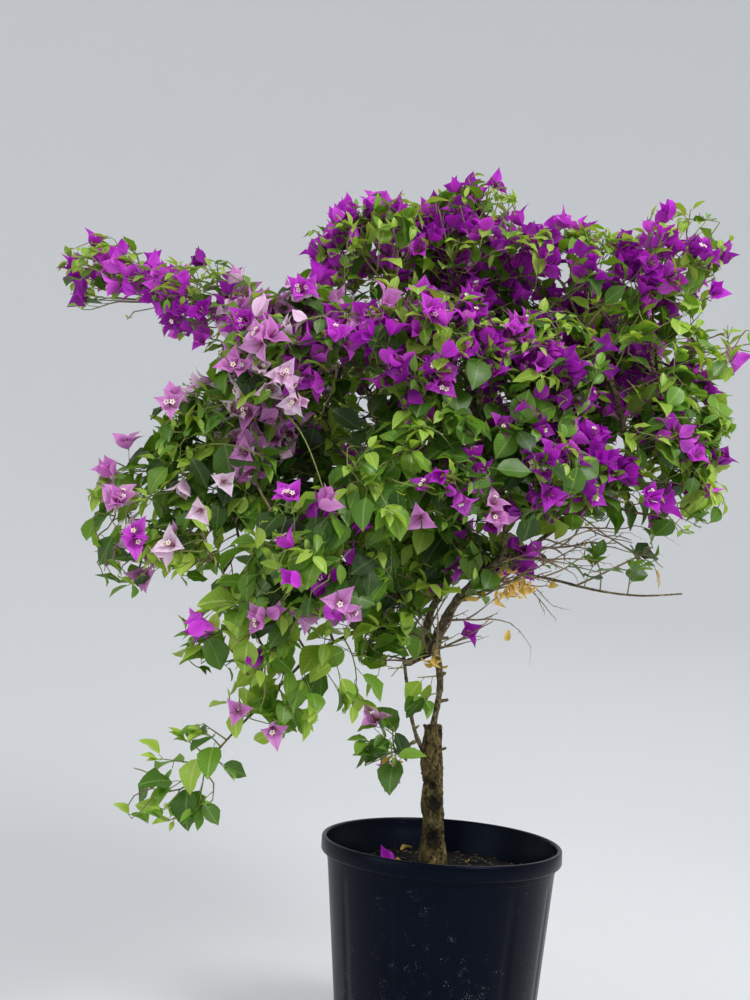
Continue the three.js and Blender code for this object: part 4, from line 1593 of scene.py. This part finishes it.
class Gardener:
    """Sets sprays on the branches: their stems, leaves, bracts and flowers, kind by kind."""

    def __init__(self, crown, dice):
        self.crown = crown
        self.dice = dice
        self.greens = {k: Pile(f"leaves_{k}", GREENS[k], "leaves", MASSES) for k in GREENS}
        self.hues = {k: Pile(f"bracts_{k}", HUES[k], "bracts", MASSES) for k in HUES}
        self.stars = Pile("flower_stars", FLOWER, "flowers", MASSES)
        self.tubes = Pile("flower_tubes", FLOWER_TUBE, "flowers", MASSES)
        self.dry = Pile("dry_leaves", DRY, "dead_leaves", MASSES)
        self.twigs = Pile("twigs", TWIG, "old_bark", MASSES)
        self.shoots = Pile("green_shoots", SHOOT, "young_bark", MASSES)

    def piles(self):
        others = (self.stars, self.tubes, self.dry, self.twigs, self.shoots)
        return (*self.greens.values(), *self.hues.values(), *others)

    def stalk(self, *points):
        """A thin stalk through three points."""
        self.shoots.add(tube(points, STALK_RADII, 3, False))

    def leaf(self, base, way, face, size, green, young=False, free=False):
        """A leaf on its stalk. One that isn't free keeps to the masses, or isn't grown."""
        dice = self.dice
        stalk = size * dice.uniform(*LEAF_STALK)
        over = 1.0 if free else dice.uniform(*OVERHANG)
        for _ in range(TRIES):
            foot = base + unit(way) * stalk
            tip = foot + unit(way) * size
            if self.crown.depth(tip) > -over:
                break
            way = unit(way) + 0.9 * any_way(dice)
        else:
            return
        form = dice.choice(YOUNG_FORMS if young else LEAF_FORMS)
        self.greens[green].add_form(form, leaf_frame(foot, way, face, size), dice.randrange(TILES))
        self.stalk(base, (base + foot) / 2 + UP * stalk * 0.06, foot)

    def bells(self, base, way, face, count, hue, hang, free=False):
        """A truss of bract bells on one stalk."""
        dice = self.dice
        way = unit(way)
        stalk = dice.uniform(*TRUSS_STALK)
        hub = base + way * stalk
        if not free and self.crown.depth(hub) < -TRUSS_EDGE:
            return
        stalks = [[base, base + way * stalk * 0.5 + UP * 0.0004, hub]]
        for _ in range(count):
            spread = 0.35 + 0.3 * count
            axis = unit(way + spread * any_way(dice) + 0.75 * face - hang * UP)
            foot = hub + axis * dice.uniform(*BELL_STALK)
            size = dice.uniform(*BELL_SIZE)
            over = 1.0 if free else dice.uniform(*OVERHANG)
            if self.crown.depth(foot + axis * size * 0.9) < -over:
                continue
            shut = dice.random() < SHUT_SHARE
            form = dice.choice(SHUT_BELLS if shut else OPEN_BELLS)
            turn = dice.uniform(0, 2 * math.pi)
            tile = dice.randrange(TILES)
            self.hues[hue].add_form(form, bell_frame(foot, axis, turn, size), tile)
            stalks.append([hub, (hub + foot) / 2, foot])
            if shut:
                continue
            for k in range(3):
                lean = turn + k * 2 * math.pi / 3
                inner = bell_frame(foot, axis, lean, size)
                aim = unit(axis + 0.22 * inner[:, 0] / size)
                open_star = dice.random() < OPEN_FLOWERS
                reach = size * (1.0 if open_star else dice.uniform(0.75, 1.0))
                stem = bell_frame(foot + aim * size * 0.02, aim, lean, reach)
                self.tubes.add_form(TUBE_FORM, stem, tile)
                if open_star:
                    self.stars.add_form(STAR, stem, dice.randrange(TILES))
        for points in stalks:
            self.stalk(*points)

    def dead_bits(self, base, count):
        """Curled dead leaves that hang where they dried."""
        dice = self.dice
        for _ in range(count):
            way = unit(0.55 * any_way(dice) - 0.9 * UP)
            spot = base + way * dice.uniform(0.0, 0.012)
            size = dice.uniform(*DRY_SIZE)
            form = dice.choice(DRY_FORMS)
            frame_of = leaf_frame(spot, way, any_way(dice), size)
            self.dry.add_form(form, frame_of, dice.randrange(TILES))

    def bare_twig(self, start, heading, length, forks, radius=BARE_RADIUS):
        """A leafless twig with kinked joints, side spurs and forks. Returns its end."""
        dice = self.dice
        steps = max(int(length / BARE_STEP), 3)
        points = [np.array(start)]
        radii = [radius]
        heading = unit(np.array(heading, float))
        fork_steps = {dice.randrange(1, steps) for _ in range(forks)}
        for i in range(steps):
            heading = unit(heading + 0.20 * any_way(dice))
            points.append(points[-1] + heading * length / steps)
            radii.append(radius * (1 - 0.6 * (i + 1) / steps))
            side = unit(across(heading, any_way(dice)))
            if dice.random() < NUB_SHARE:
                nub = points[-1] + (side + 0.6 * heading) * dice.uniform(*NUB_LENGTH)
                self.twigs.add(tube([points[-1], nub], [radii[-1] * 0.9, radii[-1] * 0.4], 4))
            if i in fork_steps and length > 0.03:
                way = unit(heading + 0.75 * side)
                fork = length * dice.uniform(*FORK_LENGTH)
                self.bare_twig(points[-1], way, fork, forks // 3, radii[-1])
        self.twigs.add(tube(points, radii, 5))
        return points[-1]

    def onward(self, spot, heading, stride, home, edge):
        """A way on from a spot that keeps to the masses or near them, or none."""
        for _ in range(TRIES):
            if self.crown.depth(spot + heading * stride) > -edge:
                return heading
            heading = unit(heading + 0.5 * any_way(self.dice) + 0.2 * unit(home - spot))
        return None

    def spray(self, start, along, mass):
        """A shoot that grows out from a branch joint in a mass, as the mass's habit has it."""
        dice = self.dice
        habit = HABITS[MASSES[self.crown.names[mass]]]
        outward = self.crown.outward(mass, start)
        heading = unit(0.5 * along + 0.9 * outward + habit.lift * UP + 0.5 * any_way(dice))
        steps = dice.randint(*habit.nodes)
        if dice.random() < habit.bare:
            length = steps * INTERNODE
            if self.crown.depth(start + heading * length) > -0.01:
                end = self.bare_twig(start, heading, length, 2)
                if dice.random() < DRY_ENDS:
                    self.dead_bits(end, dice.randint(1, 3))
            return
        home = self.crown.middles[mass]
        bloom = share_at(BLOOM_PATCHES, start, habit.bloom)
        self.shoot(start, heading, steps, habit, outward, home, bloom)

    def shoot(self, start, heading, steps, habit, outward, home=None, bloom=None):
        """A leafy or flowering shoot. One with a home keeps to the masses."""
        dice = self.dice
        free = home is None
        edge = dice.uniform(*SHOOT_EDGE)
        blooming = dice.random() < (habit.bloom if bloom is None else bloom)
        trusses = max(habit.trusses, 0.6)
        green = pick(habit.greens, dice)
        hue = pick(habit.hues, dice)
        spot = np.array(start)
        points = [spot]
        turn = dice.uniform(0, 2 * math.pi)
        for i in range(steps):
            share = (i + 1) / steps
            heading = unit(heading + 0.14 * any_way(dice) - (0.03 + 0.07 * habit.hang) * UP)
            stride = habit.step * INTERNODE * dice.uniform(*STRIDE_SPREAD) * (1.1 - 0.35 * share)
            if not free:
                way_on = self.onward(spot, heading, stride, home, edge)
                if way_on is None:
                    break
                heading = way_on
            spot = spot + heading * stride
            points.append(spot)
            turn += LEAF_TURN
            first = unit(across(heading, UP + 0.05))
            second = across(heading, first)
            side = first * math.cos(turn) + second * math.sin(turn)
            face = unit(0.7 * UP + 0.55 * LIGHT_SIDE + 0.5 * outward + 0.4 * any_way(dice))
            droop = (0.25 + habit.hang) * UP
            way = 0.85 * side + 0.5 * heading + 0.25 * outward - droop + 0.2 * any_way(dice)
            size = habit.leaf * dice.uniform(*LEAF_SPREAD) * (1.08 - 0.45 * share)
            if blooming and share > 0.4:
                size *= BLOOM_LEAF
            young = share > YOUNG_PART
            if dice.random() < habit.leaves:
                shade = LIGHTER[green] if young else green
                self.leaf(spot, way, face, size, shade, young, free)
            if blooming and share > 0.3 and dice.random() < trusses:
                truss = 0.6 * side + 0.5 * heading + 0.6 * outward + 0.3 * any_way(dice)
                truss = truss + (0.25 - habit.hang) * UP
                count = dice.choice(TRUSS_COUNTS)
                self.bells(spot, truss, face, count, hue, habit.hang * 0.8, free)
        if len(points) < 2:
            face = unit(UP + outward)
            self.leaf(spot, outward + 0.4 * any_way(dice), face, habit.leaf * 0.8, green)
            return
        self.shoots.add(tube(points, np.linspace(0.0010, 0.0006, len(points)), 4))
        face = unit(UP + LIGHT_SIDE)
        if blooming:
            way = unit(heading + 0.4 * outward + (0.3 - habit.hang) * UP)
            self.bells(spot, way, face, 3, hue, habit.hang * 0.8, free)
        for _ in range(dice.randint(*END_LEAVES)):
            way = heading + 0.7 * any_way(dice)
            self.leaf(spot, way, face, dice.uniform(*END_LEAF), LIGHTER[green], True, free)


# Where dead leaves hang straight from a limb: run, share, how many.
DRY_CLUSTERS = (
    ("leader", 0.97, 3),
    ("low_limb", 0.15, 2),
    ("bare_side_limb", 0.14, 4),
    ("bare_side_limb", 0.20, 6),
    ("bare_side_limb", 0.26, 7),
    ("bare_side_limb", 0.31, 4),
    ("right_low_limb", 0.10, 3),
    ("right_bough", 0.66, 3),
    ("low_side_twig", 0.95, 2),
)
# Bract bells that hang by themselves: run, share, way out, how far, colour, how far it hangs.
LONE_BELLS = (
    ("low_side_twig", 0.20, (-0.60, -0.70, -0.70), 0.012, "mauve", 0.9),
    ("low_side_twig", 0.98, (-0.70, -0.30, 0.60), 0.030, "mauve", 0.3),
    ("leader", 0.98, (0.77, -0.30, 0.50), 0.028, "deep", 0.3),
    ("weeping_limb", 0.77, (-0.50, -0.40, 0.30), 0.006, "mauve", 0.6),
    ("weeping_limb", 0.70, (0.40, -0.40, -0.60), 0.012, "mauve", 0.8),
)
# Trusses that hang out on the front of the crown: x, z, how many bells, colour, how far they hang.
FRONT_TRUSSES = (
    (-0.338, 0.731, 1, "pale", 0.5),
    (-0.297, 0.721, 1, "pale", 0.9),
    (-0.308, 0.678, 1, "pale", 0.6),
    (-0.333, 0.638, 2, "pale", 0.3),
    (-0.420, 0.745, 2, "mauve", 0.4),
    (-0.418, 0.713, 2, "mauve", 0.6),
    (-0.424, 0.672, 3, "mauve", 0.7),
    (-0.405, 0.645, 2, "bright", 0.9),
    (-0.376, 0.640, 1, "mauve", 0.9),
    (-0.353, 0.790, 3, "mauve", 0.4),
    (-0.198, 0.669, 2, "bright", 0.2),
    (-0.173, 0.668, 2, "mauve", 0.4),
    (-0.172, 0.603, 1, "bright", -0.2),
    (-0.142, 0.588, 2, "mauve", 0.0),
    (-0.169, 0.572, 1, "bright", 0.2),
    (-0.222, 0.560, 3, "mauve", 0.5),
    (-0.132, 0.560, 1, "mauve", 0.9),
    (-0.241, 0.873, 3, "mauve", 0.6),
    (-0.207, 0.830, 3, "pale", 0.9),
    (-0.271, 0.852, 2, "mauve", 0.7),
    (-0.225, 0.850, 3, "pale", 0.8),
    (-0.025, 0.725, 2, "bright", 0.3),
    (-0.044, 0.685, 1, "mauve", 1.2),
    (0.006, 0.695, 3, "mauve", 0.5),
    (0.234, 0.730, 2, "vivid", 0.5),
    (0.288, 0.771, 3, "bright", 0.3),
    (-0.265, 0.956, 3, "vivid", -0.3),
    (-0.227, 0.948, 3, "bright", -0.2),
    (-0.294, 0.925, 2, "vivid", 0.0),
    (-0.325, 0.887, 2, "vivid", 0.9),
    (-0.188, 0.951, 3, "vivid", -0.1),
    (-0.167, 0.885, 2, "bright", 0.3),
    (-0.358, 0.938, 2, "deep", 1.0),
    (-0.112, 0.885, 3, "vivid", 0.1),
    (-0.059, 0.907, 3, "bright", 0.0),
)
# Long green stems that arch over the front of the crown: x and z of either end, how far out.
ARCHING_STEMS = (
    (-0.410, 0.680, -0.317, 0.698, 0.016),
    (-0.252, 0.687, -0.192, 0.773, 0.020),
    (-0.222, 0.803, -0.165, 0.699, 0.018),
    (-0.360, 0.738, -0.272, 0.758, 0.014),
    (-0.163, 0.792, -0.104, 0.706, 0.016),
    (-0.312, 0.630, -0.380, 0.610, 0.010),
)
# Leafy shoots that break from the limbs, by limb and habit: share, way, nodes.
LIMB_SHOOTS = (
    (
        "weeping_limb", "trailing",
        (0.05, (-0.30, -0.80, 0.40), 5),
        (0.12, (-0.20, -0.80, -0.35), 5),
        (0.18, (-0.10, -0.60, -0.70), 5),
        (0.25, (-0.05, -0.90, 0.10), 4),
        (0.30, (0.47, 0.16, -0.70), 7),
        (0.36, (0.50, -0.30, -0.80), 6),
        (0.34, (-0.10, -0.90, 0.25), 4),
        (0.43, (0.60, -0.47, -0.62), 5),
        (0.50, (0.30, -0.50, -0.70), 5),
        (0.57, (0.40, 0.30, -0.70), 5),
        (0.62, (0.78, -0.20, -0.60), 4),
        (0.70, (0.73, 0.09, -0.68), 3),
        (0.75, (-0.70, -0.20, 0.65), 3),
        (0.88, (-0.79, -0.08, 0.50), 3),
        (0.91, (-0.60, -0.20, 0.60), 3),
        (0.95, (0.70, -0.10, -0.40), 2),
    ),
    (
        "weeping_limb", "last",
        (0.97, (-0.50, -0.20, 0.50), 2),
        (1.00, (-0.75, -0.20, 0.15), 3),
        (1.00, (-0.70, -0.30, -0.35), 3),
        (1.00, (0.05, -0.30, -0.90), 3),
    ),
    (
        "leader", "trailing",
        (0.90, (-0.90, -0.30, -0.30), 6),
        (0.64, (-0.80, -0.50, -0.10), 3),
        (0.42, (-0.54, -0.80, -0.10), 3),
    ),
    (
        "left_stem", "trailing",
        (0.50, (-0.55, -0.83, -0.10), 3),
        (0.58, (-0.76, -0.63, -0.11), 4),
        (0.66, (-0.89, -0.44, 0.05), 5),
        (0.74, (0.30, -0.80, 0.30), 4),
    ),
    (
        "low_limb", "trailing",
        (0.70, (-0.30, -0.80, 0.30), 4),
    ),
    (
        "left_bough", "trailing",
        (0.12, (-0.70, -0.60, 0.30), 5),
        (0.30, (-0.60, -0.70, 0.25), 5),
        (0.42, (0.20, -0.90, 0.30), 4),
        (0.55, (-0.20, -0.90, 0.20), 5),
    ),
    (
        "right_bough", "trailing",
        (0.45, (0.40, -0.80, 0.30), 4),
        (0.62, (0.10, -0.90, 0.25), 5),
        (0.80, (0.30, -0.85, 0.15), 5),
    ),
    (
        "bare_side_limb", "thin",
        (0.60, (0.10, -0.30, 0.80), 3),
        (0.66, (0.02, -0.40, 0.85), 4),
        (0.78, (0.03, -0.14, 0.95), 3),
    ),
    (
        "right_low_limb", "sunlit",
        (0.60, (-0.30, -0.60, 0.75), 6),
        (0.70, (0.20, -0.85, 0.40), 6),
        (0.80, (-0.35, -0.40, 0.80), 7),
        (0.88, (0.25, -0.70, 0.50), 6),
        (0.95, (-0.20, -0.75, 0.50), 7),
        (1.00, (0.30, -0.60, 0.65), 7),
        (1.00, (0.60, -0.50, 0.35), 6),
        (1.00, (-0.30, -0.55, 0.75), 7),
    ),
    (
        "low_side_twig", "low",
        (0.55, (-0.50, -0.50, 0.50), 4),
        (0.80, (-0.30, -0.70, 0.10), 3),
        (0.98, (-0.70, -0.40, 0.40), 3),
    ),
)


def bark_limbs(runs, limbs, young_limbs, dice):
    """The bark of the limbs and of the trunk, with its cut spurs."""
    for name, run in runs.items():
        pile = young_limbs if name in YOUNG_LIMBS else limbs
        pile.add(bark_tube(run.points, run.radii, LIMB_SIDES, dice, RUNS[name][2]))
    lines = {**runs, "trunk": make_trunk()}
    for name, share, turn, length, radius in SPURS:
        limbs.add(spur(lines[name].spot(share), math.radians(turn), length, radius, dice))


def bark_branches(growth, boughs, twigs, dice):
    """The bark of the branches, which are no thicker at their feet than their limb allows."""
    for chain in growth.chains():
        points = growth.points[chain]
        radii = growth.radii[chain]
        radii[0] = radii[1] * 1.1
        first = chain[0]
        if first < growth.limb_count:
            limb_radius = growth.limb_radius[first]
            radii = np.minimum(radii, limb_radius * 0.85)
            if first in growth.tips:
                away = np.arange(len(chain)) * STRIDE
                radii = np.maximum(radii, limb_radius * np.clip(0.98 - away / 0.09, 0, 1))
        if radii[1] > THICK_TWIG:
            boughs.add(bark_tube(points, radii, 8, dice, 0.2))
        else:
            twigs.add(tube(points, radii, 5))


def hang_trusses(growth, gardener):
    """The trusses that hang out on the front of the crown, each on a twig of its own."""
    for x, z, count, hue, hang in FRONT_TRUSSES:
        spot = gardener.crown.front(x, z)
        spot[1] = max(spot[1], CAD_BOX[0][1] + TRUSS_ROOM)
        joint = growth.near(spot)
        middle = (joint + spot) / 2 + 0.12 * np.linalg.norm(spot - joint) * UP
        gardener.shoots.add(tube([joint, middle, spot], [0.0009, 0.0008, 0.0006], 4))
        way = spot - joint + 0.01 * any_way(gardener.dice)
        gardener.bells(spot, way, LIGHT_SIDE, count, hue, hang, True)


def arch_stems(growth, gardener):
    """The long green stems that arch over the front of the crown, each with a leafy end."""
    for x, z, end_x, end_z, out in ARCHING_STEMS:
        start = gardener.crown.front(x, z)
        end = gardener.crown.front(end_x, end_z)
        shares = np.linspace(0, 1, 9)[:, None]
        rise = out * np.sin(math.pi * shares) * ARCH_WAY
        arch = start + (end - start) * shares + rise
        points = [growth.near(start), *arch]
        gardener.shoots.add(tube(points, np.linspace(0.0012, 0.0007, 10), 5))
        way = unit(arch[-1] - arch[-2])
        gardener.shoot(arch[-1], way, 3, HABITS["trailing"], way)


def dress_limbs(runs, gardener):
    """The loose bells, bare twigs and dead leaves that hang straight from the limbs."""
    for name, share, way, reach, hue, hang in LONE_BELLS:
        start = runs[name].spot(share)[0]
        end = start + unit(np.array(way)) * reach
        points = [start, (start + end) / 2 + 0.001 * UP, end]
        gardener.shoots.add(tube(points, [0.0010, 0.0008, 0.0006], 4))
        gardener.bells(end, end - start, LIGHT_SIDE, 1, hue, hang, True)
    for name, *rows in BARE_TWIGS:
        for share, way, length, forks in rows:
            point, _, radius = runs[name].spot(share)
            end = gardener.bare_twig(point, way, length, forks, min(0.0017, radius * 0.7))
            if way[0] > 0.6 and gardener.dice.random() < 0.4:
                gardener.dead_bits(end, 1)
    for name, share, count in DRY_CLUSTERS:
        gardener.dead_bits(runs[name].spot(share)[0], count)


def make_plant():
    """The limbs' bark, the branches that grow on from them, and every spray they carry."""
    dice = random.Random(SEED)
    runs = limb_runs()
    crown = Crown(MASSES)
    gardener = Gardener(crown, dice)
    solids = {solid for name, run in RUNS.items() for solid in (name, *run[4:])}
    old_limbs = solids - set(YOUNG_LIMBS)
    limbs = Pile("limb_bark", LIMB_BARK, "old_bark", old_limbs, mapped=False)
    young_limbs = Pile("young_limb_bark", YOUNG_BARK, "young_bark", YOUNG_LIMBS, mapped=False)
    boughs = Pile("crown_boughs", LIMB_BARK, "old_bark", MASSES, mapped=False)
    bark_limbs(runs, limbs, young_limbs, dice)
    wants, owners = scatter_sprays(crown, dice)
    late = np.array([crown.names[owner] in LATE_MASSES for owner in owners])
    growth = Growth(runs, wants, late, dice)
    bark_branches(growth, boughs, gardener.twigs, dice)
    for joint, owner in zip(growth.nearest, owners):
        gardener.spray(growth.points[joint], growth.heading(joint), owner)
    for name, habit, *rows in LIMB_SHOOTS:
        for share, way, nodes in rows:
            way = unit(np.array(way))
            gardener.shoot(runs[name].spot(share)[0], way, nodes, HABITS[habit], way)
    hang_trusses(growth, gardener)
    arch_stems(growth, gardener)
    dress_limbs(runs, gardener)
    for pile in (limbs, young_limbs, boughs, *gardener.piles()):
        pile.make()


# ---- Floor, light and camera ----

BACKDROP = paint(226, 227, 228)
FLOOR_SIDES = 96
FLOOR_RADIUS = 2.0
SWEEP_RADIUS = 2.4
WALL_TOP = 5.0
CAMERA_PLACE = Vector((-0.1076, -1.3031, 0.5393))
CAMERA_PITCH = math.radians(7.88)
CAMERA_ROLL = math.radians(3.31)
CAMERA_LENS = 36.0
SENSOR_WIDTH = 36.0
AIM = (0.0, 0.0, 0.75)
# Area lights: name, place, the point they aim at, width and height, power.
LIGHTS = (
    ("key", (1.25, -1.55, 2.3), AIM, (0.9, 0.9), 50),
    ("strip", (-1.9, -0.9, 0.9), (0.0, 0.0, 0.4), (0.25, 1.6), 3),
    ("fill", (-2.2, -1.7, 1.4), AIM, (1.8, 1.8), 16),
    ("back", (0.8, 2.4, 2.4), AIM, (1.6, 1.6), 15),
)
SKY = (0.93, 0.96, 1.0, 1.0)
SKY_STRENGTH = 0.75


def make_stage():
    """A pale round floor that curves up into a wall far behind."""
    nothing_selected()
    bpy.ops.mesh.primitive_circle_add(
        vertices=FLOOR_SIDES, radius=FLOOR_RADIUS, fill_type="NGON"
    )
    stage = bpy.context.object
    bpy.ops.object.mode_set(mode="EDIT")
    bpy.ops.mesh.select_mode(type="EDGE")
    bpy.ops.mesh.select_all(action="SELECT")
    bpy.ops.mesh.region_to_loop()
    rings = []
    for degrees in range(6, 91, 6):
        turn = math.radians(degrees)
        away = FLOOR_RADIUS + SWEEP_RADIUS * math.sin(turn)
        rings.append((away, SWEEP_RADIUS * (1 - math.cos(turn))))
    rings.append((FLOOR_RADIUS + SWEEP_RADIUS, WALL_TOP))
    raise_rings((FLOOR_RADIUS, 0.0), rings)
    settle(stage)
    bpy.ops.object.shade_smooth()
    finish = Finish("pale backdrop")
    stage.name = "backdrop"
    stage.data.materials.append(finish.done(finish.shader(BACKDROP, 0.9)))


def make_lights():
    """A soft key from the upper right, a broad fill, a light from behind and a pale sky."""
    for name, place, aim, size, power in LIGHTS:
        data = bpy.data.lights.new(name, "AREA")
        data.shape = "RECTANGLE"
        data.size, data.size_y = size
        data.energy = power
        light = bpy.data.objects.new(name, data)
        light.location = place
        ahead = Vector(aim) - Vector(place)
        light.rotation_euler = ahead.to_track_quat("-Z", "Y").to_euler()
        bpy.context.scene.collection.objects.link(light)
    world = bpy.data.worlds.new("soft sky")
    world.use_nodes = True
    sky = world.node_tree.nodes["Background"]
    sky.inputs["Color"].default_value = SKY
    sky.inputs["Strength"].default_value = SKY_STRENGTH
    bpy.context.scene.world = world


def make_camera():
    """A camera just above the pot's rim that looks a little up at the crown."""
    data = bpy.data.cameras.new("camera")
    data.lens = CAMERA_LENS
    data.sensor_width = SENSOR_WIDTH
    camera = bpy.data.objects.new("camera", data)
    ahead = Vector((0, math.cos(CAMERA_PITCH), math.sin(CAMERA_PITCH)))
    level = Vector((1, 0, 0))
    upright = level.cross(ahead)
    side = level * math.cos(CAMERA_ROLL) + upright * math.sin(CAMERA_ROLL)
    top = upright * math.cos(CAMERA_ROLL) - level * math.sin(CAMERA_ROLL)
    axes = Matrix((side, top, -ahead)).transposed()
    camera.matrix_world = Matrix.Translation(CAMERA_PLACE) @ axes.to_4x4()
    bpy.context.scene.collection.objects.link(camera)
    bpy.context.scene.camera = camera


make_camera()
make_stage()
make_lights()
make_pot()
make_soil()
make_litter()
make_plant()
bpy.context.scene.view_settings.view_transform = "Standard"
